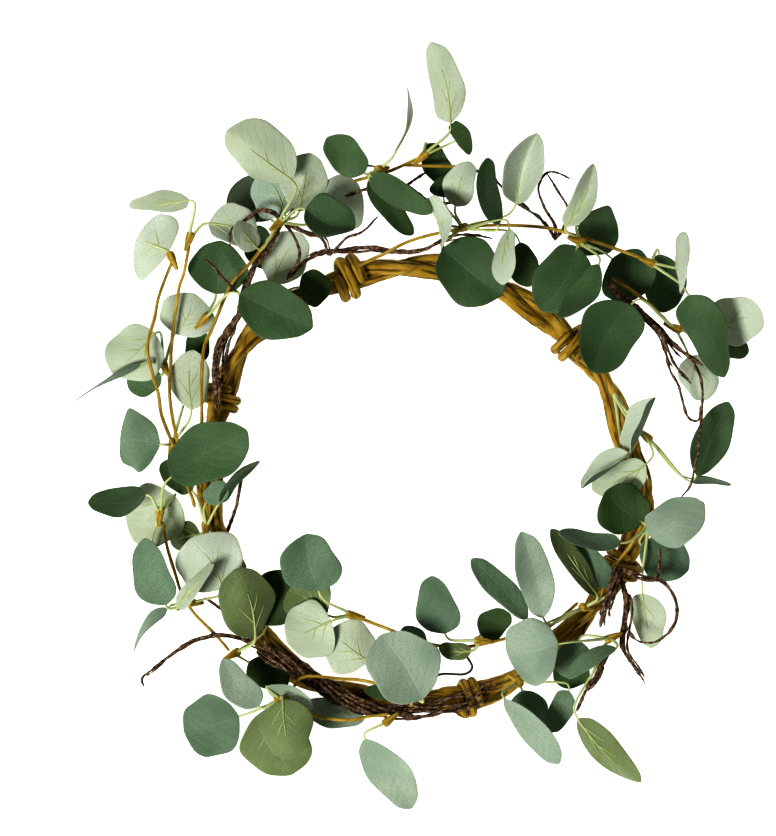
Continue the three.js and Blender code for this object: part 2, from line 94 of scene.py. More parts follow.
def add_node(
    tree: bpy.types.NodeTree,
    kind: str,
    links: dict | None = None,
    output: int | str = 0,
    **settings: object,
) -> bpy.types.NodeSocket | None:
    """Add a node, set its fields, and fill its inputs with plain values or links.

    Args:
        tree: The node tree that gets the node.
        kind: The node's type name.
        links: Each input's name or index, with its value or the socket that feeds it.
        output: The name or index of the output that is wanted.
        **settings: The node's own fields.

    Returns:
        The wanted output, or None for a node that has none.
    """
    made = tree.nodes.new(kind)
    for key, value in settings.items():
        setattr(made, key, value)
    for key, value in (links or {}).items():
        if isinstance(value, bpy.types.NodeSocket):
            tree.links.new(value, made.inputs[key])
        else:
            made.inputs[key].default_value = value
    return made.outputs[output] if made.outputs else None


def new_material(name: str) -> tuple[bpy.types.Material, Callable[..., bpy.types.NodeSocket]]:
    """Make an empty node material.

    Args:
        name: The material's name.

    Returns:
        The material, and add_node bound to its tree.
    """
    made = bpy.data.materials.new(name)
    made.use_nodes = True
    made.node_tree.nodes.clear()
    return made, partial(add_node, made.node_tree)


def shade(
    node: Callable[..., bpy.types.NodeSocket],
    colour: bpy.types.NodeSocket,
    height: bpy.types.NodeSocket,
    relief: tuple[float, float],
    numbers: dict[str, float],
) -> None:
    """Close a material: one shader with relief, and uniform numbers on its other sockets.

    Args:
        node: The material's node adder.
        colour: The base colour.
        height: The relief's height, from 0 to 1.
        relief: The relief's depth in millimetres, and its strength.
        numbers: Input name to plain value.
    """
    depth_mm, strength = relief
    bump = node("ShaderNodeBump", {"Height": height, "Distance": depth_mm * MM, "Strength": strength})
    surface = node("ShaderNodeBsdfPrincipled", {"Base Color": colour, "Normal": bump, **numbers})
    node("ShaderNodeOutputMaterial", {"Surface": surface})


@dataclass(frozen=True)
class LeafCloth:
    """Stiffened plain-woven polyester leaf cloth, heat-moulded with veins and printed on one face.

    The weave gives the eye a fine speckle, and the size in the cloth a dull satin sheen.
    """

    name: str
    colour: str
    deep: str
    vein: str
    roughness: float = 0.62
    sheen: float = 0.12
    fine_vein_mm: float = 2.4
    thread_mm: float = 0.8  # real threads are about 0.3 mm apart: drawn coarser so that they show

    def build(self) -> bpy.types.Material:
        """Build the cloth's material from the blade's own two UV maps.

        Returns:
            The material.
        """
        made, node = new_material(self.name)
        cloth = node("ShaderNodeUVMap", uv_map="cloth_mm")
        place = node("ShaderNodeTexCoord", output="Object")
        colour, deep = linear(self.colour), linear(self.deep)
        thread = {"Vector": cloth, "Scale": 0.314 / self.thread_mm, "Distortion": 0.8, "Detail": 1.0}
        warp, weft = (node("ShaderNodeTexWave", thread, 1, bands_direction=way) for way in ("X", "Y"))
        weave = node("ShaderNodeMath", {0: warp, 1: weft}, operation="MULTIPLY")
        grain = node("ShaderNodeTexNoise", {"Vector": cloth, "Scale": 1 / self.thread_mm, "Roughness": 0.7})
        speckle = node("ShaderNodeMath", {0: weave, 1: 0.2, 2: grain}, operation="MULTIPLY_ADD")
        cloud = node("ShaderNodeTexNoise", {"Vector": place, "Scale": 45.0})
        fine = {"Vector": cloth, "Scale": 0.314 / self.fine_vein_mm, "Distortion": 5.0, "Detail": 3.0}
        hatch = node("ShaderNodeTexWave", fine, 1, bands_direction="DIAGONAL")
        hatch = node("ShaderNodeMapRange", {0: hatch, 1: 0.62, 2: 0.95})
        broken = node("ShaderNodeMapRange", {0: grain, 1: 0.4, 2: 0.6})
        hatch = node("ShaderNodeMath", {0: hatch, 1: broken}, operation="MULTIPLY")
        layers = ((cloud, 0.35, 0.7, 1.0), (speckle, 0.46, 0.68, 0.75), (hatch, 0.0, 1.0, 0.4))
        for mask, low, high, share in layers:
            factor = node("ShaderNodeMapRange", {0: mask, 1: low, 2: high, 4: share})
            colour = node("ShaderNodeMix", {0: factor, 6: colour, 7: deep}, 2, data_type="RGBA")
        veins = self.vein_mask(node)
        faint = node("ShaderNodeMath", {0: veins, 1: 0.14}, operation="MULTIPLY")
        colour = node("ShaderNodeMix", {0: faint, 6: colour, 7: linear(self.vein)}, 2, data_type="RGBA")
        height = node("ShaderNodeMath", {0: weave, 1: 0.6, 2: grain}, operation="MULTIPLY_ADD")
        for groove in (veins, hatch):
            height = node("ShaderNodeMath", {0: groove, 1: -0.7, 2: height}, operation="MULTIPLY_ADD")
        shade(node, colour, height, (0.2, 0.6), {
            "Roughness": self.roughness, "Specular IOR Level": 0.42,
            "Sheen Weight": self.sheen, "Sheen Roughness": 0.45,
        })
        return made

    def vein_mask(self, node: Callable[..., bpy.types.NodeSocket]) -> bpy.types.NodeSocket:
        """Draw the moulded midrib and the side veins that slant off it.

        Args:
            node: The material's node adder.

        Returns:
            A mask: 1 along the veins, 0 between them.
        """
        blade = node("ShaderNodeUVMap", uv_map="blade")
        along = node("ShaderNodeSeparateXYZ", {0: blade}, "X")
        across = node("ShaderNodeSeparateXYZ", {0: blade}, "Y")
        off_rib = node("ShaderNodeMath", {0: across, 1: 0.5}, operation="SUBTRACT")
        off_rib = node("ShaderNodeMath", {0: off_rib}, operation="ABSOLUTE")
        midrib = node("ShaderNodeMapRange", {0: off_rib, 1: 0.008, 2: 0.022, 3: 1.0, 4: 0.0})
        slant = node("ShaderNodeMath", {0: off_rib, 1: -0.9, 2: along}, operation="MULTIPLY_ADD")
        repeat = node("ShaderNodeMath", {0: slant, 1: 0.2}, operation="PINGPONG")
        side = node("ShaderNodeMapRange", {0: repeat, 1: 0.004, 2: 0.018, 3: 0.55, 4: 0.0})
        inner = node("ShaderNodeMapRange", {0: off_rib, 1: 0.2, 2: 0.42, 3: 1.0, 4: 0.0})
        side = node("ShaderNodeMath", {0: side, 1: inner}, operation="MULTIPLY")
        return node("ShaderNodeMath", {0: midrib, 1: side}, operation="MAXIMUM")


@dataclass(frozen=True)
class PaperWrap:
    """Crepe paper wound and glued over vine or wire: matt ochre with long creases.

    The creases run along the piece on a slant. Painted shade darkens them and the edges of the laps, and
    the ridges between them catch the light.
    """

    name: str
    colour: str
    light: str
    # laid on the fibres, and as painted shade in the creases and along the lap edges
    crease: str
    crease_mm: float
    lap_mm: float
    depth_mm: float
    # how far the painted crease shade darkens the paper
    crease_shade_share: float = 0.85

    def build(self) -> bpy.types.Material:
        """Build the paper's material from the wrap's UV map, which is in millimetres.

        Returns:
            The material.
        """
        made, node = new_material(self.name)
        wrap = node("ShaderNodeUVMap", uv_map="wrap_mm")
        place = node("ShaderNodeTexCoord", output="Object")
        slanted = node(
            "ShaderNodeMapping", {"Vector": wrap, "Rotation": (0.0, 0.0, 0.24), "Scale": (1.0, 0.11, 1.0)}
        )
        coarse = {"Vector": slanted, "Scale": 1 / self.crease_mm, "Detail": 4.0}
        coarse |= {"Roughness": 0.62, "Distortion": 0.5}
        folds = node("ShaderNodeTexNoise", coarse)
        fibre = node("ShaderNodeTexNoise", {"Vector": slanted, "Scale": 3.5})
        lapped = {"Vector": wrap, "Scale": 0.314 / self.lap_mm, "Distortion": 2.5, "Detail": 1.0}
        laps = node("ShaderNodeTexWave", lapped, 1, bands_direction="DIAGONAL", wave_profile="SAW")
        cloud = node("ShaderNodeTexNoise", {"Vector": place, "Scale": 90.0})
        # painted shade: the fold valleys and the lap edges are darkened towards the crease colour
        valleys = node("ShaderNodeMapRange", {0: folds, 1: 0.38, 2: 0.5, 3: 1.0, 4: 0.0})
        edges = node("ShaderNodeMapRange", {0: laps, 1: 0.9, 2: 1.0, 4: 0.6})
        creases = node("ShaderNodeMath", {0: valleys, 1: edges}, operation="MAXIMUM")
        colour = linear(self.colour)
        layers = (
            (cloud, 0.35, 0.68, 1.0, self.light), (fibre, 0.0, 1.0, 0.3, self.crease),
            (creases, 0.0, 1.0, self.crease_shade_share, self.crease),
        )
        for mask, low, high, share, over in layers:
            factor = node("ShaderNodeMapRange", {0: mask, 1: low, 2: high, 4: share})
            colour = node("ShaderNodeMix", {0: factor, 6: colour, 7: linear(over)}, 2, data_type="RGBA")
        height = node("ShaderNodeMath", {0: laps, 1: 0.35, 2: folds}, operation="MULTIPLY_ADD")
        height = node("ShaderNodeMath", {0: creases, 1: -0.5, 2: height}, operation="MULTIPLY_ADD")
        shade(node, colour, height, (self.depth_mm, 0.8), {"Roughness": 0.68, "Specular IOR Level": 0.35})
        return made


@dataclass(frozen=True)
class Bark:
    """Dark moulded twig bark: rough, cracked across and dull, with a painted highlight on its raised ridges
    and painted shade in its cracks.
    """

    name: str
    colour: str
    # painted highlight on the raised ridges
    ridge: str
    # painted shade in the cracks
    crack_shade: str
    grain_mm: float = 1.8

    def build(self) -> bpy.types.Material:
        """Build the bark's material from the wrap's UV map, which is in millimetres.

        Returns:
            The material.
        """
        made, node = new_material(self.name)
        wrap = node("ShaderNodeUVMap", uv_map="wrap_mm")
        place = node("ShaderNodeTexCoord", output="Object")
        lumps = {"Vector": place, "Scale": 1 / (self.grain_mm * MM), "Detail": 3.0, "Roughness": 0.6}
        rough = node("ShaderNodeTexNoise", lumps)
        cell = {"Vector": wrap, "Scale": 0.7 / self.grain_mm}
        cracks = node("ShaderNodeTexVoronoi", cell, "Distance", feature="DISTANCE_TO_EDGE")
        # painted highlight: the raised parts of the relief are paler
        ridges = node("ShaderNodeMapRange", {0: rough, 1: 0.44, 2: 0.6})
        # painted shade: the bark darkens to near black along the cracks
        pits = node("ShaderNodeMapRange", {0: cracks, 1: 0.0, 2: 0.14, 3: 0.6, 4: 0.0})
        colour = linear(self.colour)
        for factor, over in ((ridges, self.ridge), (pits, self.crack_shade)):
            colour = node("ShaderNodeMix", {0: factor, 6: colour, 7: linear(over)}, 2, data_type="RGBA")
        height = node("ShaderNodeMath", {0: pits, 1: -0.6, 2: rough}, operation="MULTIPLY_ADD")
        shade(node, colour, height, (0.6, 1.0), {"Roughness": 0.82, "Specular IOR Level": 0.3})
        return made


@dataclass(frozen=True)
class Smooth:
    """A smooth dressed surface whose colour drifts slowly: stalk plastic or wire lacquer."""

    name: str
    colour: str
    drift: str
    grain_mm: float
    depth_mm: float
    numbers: tuple[tuple[str, float], ...]

    def build(self) -> bpy.types.Material:
        """Build the material from the object's own coordinates.

        Returns:
            The material.
        """
        made, node = new_material(self.name)
        place = node("ShaderNodeTexCoord", output="Object")
        slow = node("ShaderNodeTexNoise", {"Vector": place, "Scale": 55.0})
        grain = node("ShaderNodeTexNoise", {"Vector": place, "Scale": 1 / (self.grain_mm * MM)})
        factor = node("ShaderNodeMapRange", {0: slow, 1: 0.38, 2: 0.66})
        ends = {0: factor, 6: linear(self.colour), 7: linear(self.drift)}
        colour = node("ShaderNodeMix", ends, 2, data_type="RGBA")
        shade(node, colour, grain, (self.depth_mm, 0.4), dict(self.numbers))
        return made


class Finish(Enum):
    """Every finish on the crown, by the name that the plans use. Some leaf finishes are darker copies of
    one cloth that paint shade, and some are lighter copies that paint sheen.
    """

    GREEN = LeafCloth("leaf_cloth_green", "#546c48", "#3f5636", "#748768")
    # painted shade: a darker copy of the green cloth, for leaves that lie in shade
    SHADED_GREEN = LeafCloth("leaf_cloth_shaded_green", "#42582f", "#2d421e", "#5c7550")
    # painted sheen: a lighter, bluer copy of the green cloth, for leaves that partly face the light
    LIT_TEAL = LeafCloth("leaf_cloth_lit_blue_green", "#6f846b", "#546852", "#8a9c85")
    # painted sheen: a pale blue-grey copy of the green cloth, for leaves that face the light
    MIST = LeafCloth("leaf_cloth_lit_mist", "#99a590", "#7a8a79", "#adb8a4", roughness=0.58, sheen=0.2)
    SAGE = LeafCloth("leaf_underside_sage", "#b4bba7", "#9da78f", "#bec29a")
    PALE = LeafCloth("leaf_underside_pale", "#b8c0b0", "#a3ad98", "#c4c9a2")
    # painted shade: a darker copy of the pale underside, for undersides that lie in shade
    SHADED_OLIVE = LeafCloth("leaf_underside_shaded_olive", "#7c8860", "#65724a", "#9ca56c")
    HAZE = LeafCloth("leaf_underside_mist", "#a2b0a0", "#8a9a8a", "#b4bd9c")
    # painted shade: each paper's third colour darkens its creases and lap edges, and also tints its fibres
    VINE = PaperWrap("vine_paper_wrap", "#957716", "#b99a3e", "#2c1e06", 2.2, 17.0, 0.9)
    STEM = PaperWrap("stem_paper_tape", "#a3872c", "#c2a64c", "#4a370d", 1.6, 5.0, 0.35, crease_shade_share=0.6)
    # painted highlight on the paler raised ridges, and painted shade in the near-black cracks
    TWIG = Bark("twig_moulded_bark", "#523f31", "#8c755e", "#140d08")
    STALK = Smooth("leaf_stalk_plastic", "#b4bb88", "#96a068", 0.7, 0.08, (
        ("Roughness", 0.42), ("IOR", 1.5), ("Subsurface Weight", 0.08), ("Subsurface Scale", 0.6 * MM),
    ))
    WIRE = Smooth("binding_wire_lacquer", "#100f0e", "#2b2926", 1.1, 0.05, (("Roughness", 0.38),))

    def material(self) -> bpy.types.Material:
        """Return the finish's material, built the first time that it is asked for."""
        return bpy.data.materials.get(self.value.name) or self.value.build()


# Swept pieces ----------------------------------------------------------------------------------


def smooth_route(points: Sequence[Sequence[float]], step_mm: float) -> list[Vector]:
    """Run a smooth curve through a route's points and step along it evenly.

    Args:
        points: The route, in millimetres.
        step_mm: About how far apart the stations are.

    Returns:
        The stations, in metres.
    """
    knots = [Vector(point) * MM for point in points]
    ends = [knots[0] * 2 - knots[1], *knots, knots[-1] * 2 - knots[-2]]
    fine: list[Vector] = []
    for before, start, end, after in zip(ends, ends[1:], ends[2:], ends[3:]):
        count = max(2, math.ceil((end - start).length / (0.5 * step_mm * MM)))
        for i in range(count):
            t = i / count
            fine.append(0.5 * (
                2 * start + (end - before) * t + (2 * before - 5 * start + 4 * end - after) * t * t
                + (3 * start - before - 3 * end + after) * t ** 3
            ))
    fine.append(knots[-1])
    return even_steps(fine, step_mm * MM)


def even_steps(fine: Sequence[Vector], step: float) -> list[Vector]:
    """Pick evenly spaced points along a fine polyline, keeping both of its ends.

    Args:
        fine: The polyline.
        step: About how far apart the points are.

    Returns:
        The points.
    """
    lengths = [0.0]
    for a, b in zip(fine, fine[1:]):
        lengths.append(lengths[-1] + (b - a).length)
    count = max(2, round(lengths[-1] / step))
    stations, i = [], 0
    for k in range(count + 1):
        want = lengths[-1] * k / count
        while i < len(fine) - 2 and lengths[i + 1] < want:
            i += 1
        span = max(lengths[i + 1] - lengths[i], 1e-12)
        stations.append(fine[i].lerp(fine[i + 1], min(1.0, (want - lengths[i]) / span)))
    return stations


def station_turns(stations: Sequence[Vector]) -> list[Quaternion]:
    """Turn a section's frame along a route with no twist.

    Args:
        stations: The route's points.

    Returns:
        One rotation for each station that takes +Z onto the route's heading.
    """
    headings = []
    for i in range(len(stations)):
        ahead = stations[min(i + 1, len(stations) - 1)] - stations[max(i - 1, 0)]
        headings.append(ahead.normalized())
    turns = [UP.rotation_difference(headings[0])]
    for before, after in zip(headings, headings[1:]):
        turns.append(before.rotation_difference(after) @ turns[-1])
    return turns


def sweep(
    target: bmesh.types.BMesh,
    stations: Sequence[Vector],
    radius: Callable[[float], float],
    sides: int = 8,
    crease: float = 0.0,
    slot: int = 0,
) -> None:
    """Sweep a round section along stations and add the closed tube to a mesh.

    Args:
        target: The mesh that gets the tube.
        stations: The route, in metres.
        radius: The tube's radius in metres at a fraction of its length.
        sides: Sides of the section.
        crease: How far creases and swellings move the surface, as a fraction of the radius.
        slot: The material slot of the tube's faces.
    """
    tube = bmesh.new()
    around = tube.verts.layers.float.new("around")
    run = tube.verts.layers.float.new("run")
    turns = station_turns(stations)
    last = len(stations) - 1
    mean = radius(0.5)
    ring = bmesh.ops.create_circle(tube, cap_ends=False, segments=sides, radius=1.0)["verts"]
    for i, vert in enumerate(ring):
        vert[around] = i / sides
    edges = list(tube.edges)
    place = Matrix.LocRotScale(stations[0], turns[0], Vector.Fill(3, radius(0.0)))
    bmesh.ops.transform(tube, matrix=place, verts=ring)
    length = 0.0
    for i in range(1, last + 1):
        length += (stations[i] - stations[i - 1]).length
        grown = bmesh.ops.extrude_edge_only(tube, edges=edges)["geom"]
        verts = [item for item in grown if isinstance(item, bmesh.types.BMVert)]
        edges = [item for item in grown if isinstance(item, bmesh.types.BMEdge)]
        following = Matrix.LocRotScale(stations[i], turns[i], Vector.Fill(3, radius(i / last)))
        bmesh.ops.transform(tube, matrix=following @ place.inverted(), verts=verts)
        for vert in verts:
            vert[run] = length
        place = following
    bmesh.ops.holes_fill(tube, edges=tube.edges, sides=sides)
    bmesh.ops.recalc_face_normals(tube, faces=tube.faces)
    if crease:
        tube.normal_update()
        for vert in tube.verts:
            ridge = noise.noise(vert.co * SWELL_PER_M) + 0.7 * noise.noise(vert.co * CREASE_PER_M)
            vert.co += vert.normal * (mean * crease * ridge)
    wrap = tube.loops.layers.uv.new("wrap_mm")
    girth = 2 * math.pi * mean / MM
    for face in tube.faces:
        face.material_index = slot
        face.smooth = True
        seam = max(v[around] for v in face.verts) > 0.75
        for loop in face.loops:
            turn = loop.vert[around]
            loop[wrap].uv = ((1.0 if seam and turn < 0.25 else turn) * girth, loop.vert[run] / MM)
    add_mesh(target, tube)


def add_mesh(target: bmesh.types.BMesh, part: bmesh.types.BMesh) -> None:
    """Copy one mesh into another, with its UV maps, and free it.

    Args:
        target: The mesh that gets the copy.
        part: The mesh that is copied and freed.
    """
    carrier = bpy.data.meshes.new("carrier")
    part.to_mesh(carrier)
    part.free()
    target.from_mesh(carrier)
    bpy.data.meshes.remove(carrier)


def tapered(radius_mm: float, tip: float = 1.0, cap: float = 0.04) -> Callable[[float], float]:
    """Describe a radius that drifts from root to tip and rounds off at both ends.

    Args:
        radius_mm: The radius.
        tip: The share of it at the tip.
        cap: The fraction of the length that rounds off.

    Returns:
        The radius in metres at a fraction of the length.
    """

    def at(fraction: float) -> float:
        """Give the radius at a fraction of the length."""
        end = min(1.0, min(fraction, 1.0 - fraction) / cap)
        rounding = 0.35 + 0.65 * math.sqrt(max(0.0, 1 - (1 - end) ** 2))
        return radius_mm * MM * (1.0 + (tip - 1.0) * fraction) * rounding

    return at


def knotty(radius_mm: float, seed: int, length_mm: float) -> Callable[[float], float]:
    """Describe a twig's radius: thinner to the tip, swollen at its buds.

    Args:
        radius_mm: The radius at the root.
        seed: Which run of buds.
        length_mm: The twig's length.

    Returns:
        The radius in metres at a fraction of the length.
    """
    rng = random.Random(seed)
    tip, bud_gap_mm, bud_mm, bud_swell = 0.7, 9, 1.3, 0.32
    buds = [rng.uniform(0.04, 0.96) for _ in range(max(2, int(length_mm / bud_gap_mm)))]

    def at(fraction: float) -> float:
        """Give the radius at a fraction of the length."""
        swell = sum(math.exp(-(((fraction - bud) * length_mm / bud_mm) ** 2)) for bud in buds)
        end = 0.4 + 0.6 * min(1.0, min(fraction, 1 - fraction) / 0.05)
        return radius_mm * MM * (1 - (1 - tip) * fraction) * (1 + bud_swell * min(swell, 1.2)) * end

    return at


class Workshop:
    """Turns meshes into pieces: dresses them, hangs them on their body and keeps the tally."""

    def __init__(self, frame: dict) -> None:
        """Note which body carries each node of the loaded frame.

        Args:
            frame: The loaded frame.
        """
        bodies = frame["record"]["behaviour"]["bodies"]
        self.body_of = {node: body for body, nodes in bodies.items() for node in nodes}
        self.slot_of = {row["node"]: row["material_slot"] for row in frame["record"]["subparts"]}
        self.count = 0

    def piece(
        self, name: str, node: str, mesh: bmesh.types.BMesh, finishes: Sequence[Finish]
    ) -> bpy.types.Object:
        """Make one finished piece.

        Args:
            name: The piece's name.
            node: The CAD node that it stands for.
            mesh: Its mesh, in place, which is freed.
            finishes: One finish for each of its material slots.

        Returns:
            The piece, riding on its body.
        """
        data = bpy.data.meshes.new(name)
        mesh.to_mesh(data)
        mesh.free()
        made = bpy.data.objects.new(name, data)
        bpy.context.scene.collection.objects.link(made)
        for finish in finishes:
            data.materials.append(finish.material())
        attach(made, self.body_of[node])
        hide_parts(node)
        self.count += 1
        LOG.info("%s stands for %s on %s", name, node, self.body_of[node])
        return made


# The hoop --------------------------------------------------------------------------------------


@dataclass(frozen=True)
class WrapKnot:
    """Where a wrap knot sits on the hoop, how large it is, and the small loop it may leave hanging."""

    at: tuple[float, float]
    heading: float
    reach_mm: float = 8.1
    cord_mm: float = 2.2
    loop: tuple[Point, ...] = ()


@dataclass
class VineHoop:
    """The hoop: lengths of twisted vine that meet inside wrap knots."""

    height_mm: float = 10.4
    strand_mm: float = 3.3
    offset_mm: float = 2.6
    pitch_mm: float = 85.0
    lengths: dict[str, tuple[tuple[float, float], ...]] = field(default_factory=lambda: VINE_ROUTES)
    knots: dict[str, WrapKnot] = field(default_factory=lambda: WRAP_KNOTS)

    def build(self, shop: Workshop) -> None:
        """Build every vine length and wrap knot.

        Args:
            shop: The workshop that finishes the pieces.
        """
        for name, plan in self.lengths.items():
            mesh = bmesh.new()
            radius = tapered(self.strand_mm, cap=0.012)
            for phase in (0.0, math.pi):
                sweep(mesh, self.strand(plan, phase), radius, sides=18, crease=0.09)
            shop.piece(name + "_strands", name, mesh, [Finish.VINE])
        for name, knot in self.knots.items():
            shop.piece(name + "_wrap", name, self.wrap(knot), [Finish.VINE])

    def strand(self, plan: Sequence[tuple[float, float]], phase: float) -> list[Vector]:
        """Wind one strand round a vine length's centreline.

        Args:
            plan: The centreline seen from above, in millimetres.
            phase: Where round the centreline the strand starts.

        Returns:
            The strand's stations, in metres.
        """
        middle = smooth_route([(x, y, self.height_mm) for x, y in plan], 1.6)
        turns = station_turns(middle)
        length, stations = 0.0, []
        for i, centre in enumerate(middle):
            length += (centre - middle[max(i - 1, 0)]).length / MM
            heading = turns[i] @ UP
            side = UP.cross(heading).normalized()
            angle = phase + 2 * math.pi * length / self.pitch_mm
            stations.append(centre + (side * math.cos(angle) + UP * math.sin(angle)) * self.offset_mm * MM)
        return stations

    def wrap(self, knot: WrapKnot) -> bmesh.types.BMesh:
        """Wind tight turns of vine round the hoop, with both ends tucked under.

        Args:
            knot: Where the knot is and how large.

        Returns:
            The knot's mesh.
        """
        turns, spacing, steps = 2.15, 2.1 * knot.cord_mm, 64
        place = Matrix.Translation(Vector((*knot.at, self.height_mm)) * MM) @ Matrix.Rotation(
            math.radians(knot.heading), 4, "Z"
        )
        stations = []
        for i in range(steps + 1):
            t = i / steps
            angle = math.pi * (0.4 + 2 * turns * t)
            tuck = 1.0 - 0.16 * max(0.0, 1 - min(t, 1 - t) / 0.07)
            along = (t - 0.5) * spacing * turns + 0.8 * math.sin(angle)
            reach = knot.reach_mm * tuck
            around = Vector((along, reach * math.cos(angle), reach * math.sin(angle)))
            stations.append(place @ (around * MM))
        mesh = bmesh.new()
        sweep(mesh, even_steps(stations, 1.2 * MM), tapered(knot.cord_mm, cap=0.02), sides=14, crease=0.1)
        if knot.loop:
            sweep(mesh, smooth_route(knot.loop, 1.0), tapered(1.5, cap=0.03), sides=12, crease=0.1)
        return mesh


VINE_ROUTES = {
    "vine_top": ((-36.5, 88.5), (-20, 92), (0, 93), (15, 90), (30, 83), (42, 75.5), (52, 68), (60, 60.5)),
    "vine_right": ((60.7, 59.6), (70, 49), (77, 37), (81, 25), (85, 12), (89, 0), (90, -12), (87, -24),
        (82.2, -35)),
    "vine_bottom_right": ((81.1, -37.4), (74, -47), (64, -60), (52, -72), (40, -82), (28, -89.5),
        (15.6, -93.5)),
    "vine_bottom_left": ((14.2, -94), (0, -95), (-18, -96), (-38, -92), (-56, -85), (-70, -73),
        (-79, -58), (-85.5, -42)),
    "vine_left_lower": ((-86, -40.5), (-91, -27), (-96, -14), (-97, 0), (-96, 18), (-92.3, 35.4)),
    "vine_left_upper": ((-92, 36.8), (-87, 50), (-80, 62), (-71, 70), (-60, 78), (-48, 84), (-37.7, 88)),
}

WRAP_KNOTS = {
    "knot_top_left": WrapKnot((-37, 88.2), 18, 7.7, 2.3),
    "knot_right_upper": WrapKnot((60.4, 60), -46, 7.6, 2.1),
    "knot_right_lower": WrapKnot((81.8, -36), -116, 7.2, 1.8),
    "knot_bottom": WrapKnot(
        (15, -93.8), 11, 6.9, 1.8,
        ((10, -96, 14), (10.5, -99.5, 14), (14, -101, 13), (17.5, -99, 13), (17, -95, 15)),
    ),
    "knot_left": WrapKnot((-92.2, 36), 74, 7.0, 1.8),
}


# Leaves ----------------------------------------------------------------------------------------


GREEN, SHADED_GREEN, LIT_TEAL, MIST, SAGE, PALE, SHADED_OLIVE, HAZE = list(Finish)[:8]
UNDERSIDES = (SAGE, PALE, SHADED_OLIVE, HAZE)


@dataclass(frozen=True)
class Leaf:
    """One leaf: the finish of its upturned face, and how its blade lies, in millimetres and degrees.

    Roll turns the blade about its own length, and fold raises each half about the midrib.
    """

    finish: Finish
    base: Point
    tip: Point
    width: float
    roll: float
    fold: float

    @property
    def underside_up(self) -> bool:
        """Tell whether the leaf lies with its pale underside up."""
        return self.finish in UNDERSIDES

    def finishes(self) -> list[Finish]:
        """Return the finish of the upturned face, then of the face below."""
        return [self.finish, GREEN if self.underside_up else SAGE]


@dataclass
class Blade:
    """A leaf's curved surface, which its mesh, stalk and ribs all follow."""

    plan: Leaf
    seed: int
    length: float = 0.0

    def __post_init__(self) -> None:
        """Work out the blade's frame and its own small bends."""
        plan, rng = self.plan, random.Random(self.seed)
        self.base = Vector(plan.base) * MM
        along = Vector(plan.tip) * MM - self.base
        self.length = along.length
        self.along = along.normalized()
        left = UP.cross(self.along).normalized()
        self.left = Quaternion(self.along, math.radians(plan.roll)) @ left
        self.up = self.along.cross(self.left)
        self.bow = rng.uniform(0.03, 0.12) * rng.choice((1, 1, -1)) * (1 if plan.underside_up else -1)
        self.wave = rng.uniform(0.04, 0.12)
        self.phase = rng.uniform(0, 2 * math.pi)
        self.skew = rng.uniform(-0.08, 0.08)
        self.fullness = rng.uniform(0.42, 0.55)
        self.belly = {hand: rng.uniform(0.72, 1.12) for hand in (-1, 1)}
        self.lobe = {hand: rng.uniform(0, 2 * math.pi) for hand in (-1, 1)}
        self.twist = math.radians(rng.uniform(5, 15)) * rng.choice((1, -1))

    def half_width(self, s: float, hand: int = 1) -> float:
        """Return the blade's width on one side of its midrib.

        Args:
            s: Fraction of the blade's length.
            hand: 1 for the left side, -1 for the right.

        Returns:
            The width, in metres.
        """
        s = min(max(s, 0.0), 1.0)
        swell = max(0.0, math.sin(math.pi * s ** self.belly[hand])) ** self.fullness
        lobed = 1 + 0.07 * math.sin(3.0 * math.pi * s + self.lobe[hand])
        return (0.5 + (self.plan.width / 2 - 0.5) * swell * lobed) * MM

    def point(self, s: float, v: float, lift: float = 0.0) -> Vector:
        """Find a point of the surface.

        Args:
            s: Fraction of the length, from base to tip.
            v: Fraction of the half width, from -1 at the right edge to 1 at the left.
            lift: How far above the surface the point is, in metres.

        Returns:
            The point, in metres.
        """
        half = self.half_width(s, 1 if v >= 0 else -1)
        across = v * half
        fold = math.radians(self.plan.fold)
        crease = 1.6 * MM
        rise = math.sqrt(across * across + crease * crease) - crease
        height = rise * math.sin(fold) + self.bow * self.length * math.sin(math.pi * s)
        height += self.wave * half * abs(v) ** 2 * math.sin(2 * math.pi * 1.2 * s + self.phase + 1.5 * v)
        height += across * math.sin(self.twist * (2 * s - 1))
        sideways = across * math.cos(fold) + self.skew * self.length * math.sin(math.pi * s)
        return (
            self.base + self.along * (s * self.length) + self.left * sideways + self.up * (height + lift)
        )

    def mesh(self) -> bmesh.types.BMesh:
        """Shape a grid to the blade and give it its two UV maps.

        Returns:
            The blade's mesh.
        """
        made = bmesh.new()
        bmesh.ops.create_grid(made, x_segments=15, y_segments=12, size=1.0)
        spots = {vert: ((vert.co.x + 1) / 2, vert.co.y) for vert in made.verts}
        cloth = made.loops.layers.uv.new("cloth_mm")
        blade = made.loops.layers.uv.new("blade")
        for face in made.faces:
            face.smooth = True
            for loop in face.loops:
                s, v = spots[loop.vert]
                loop[cloth].uv = (s * self.length / MM, v * self.half_width(s, 1 if v >= 0 else -1) / MM)
                loop[blade].uv = (s, 0.5 + 0.5 * v)
        for vert, (s, v) in spots.items():
            vert.co = self.point(s, v)
        return made


@dataclass(frozen=True)
class SprigPlan:
    """A sprig: its node, the collar that its stalks leave, and its leaves."""

    node: str
    collar: Point
    leaves: tuple[Leaf, ...]


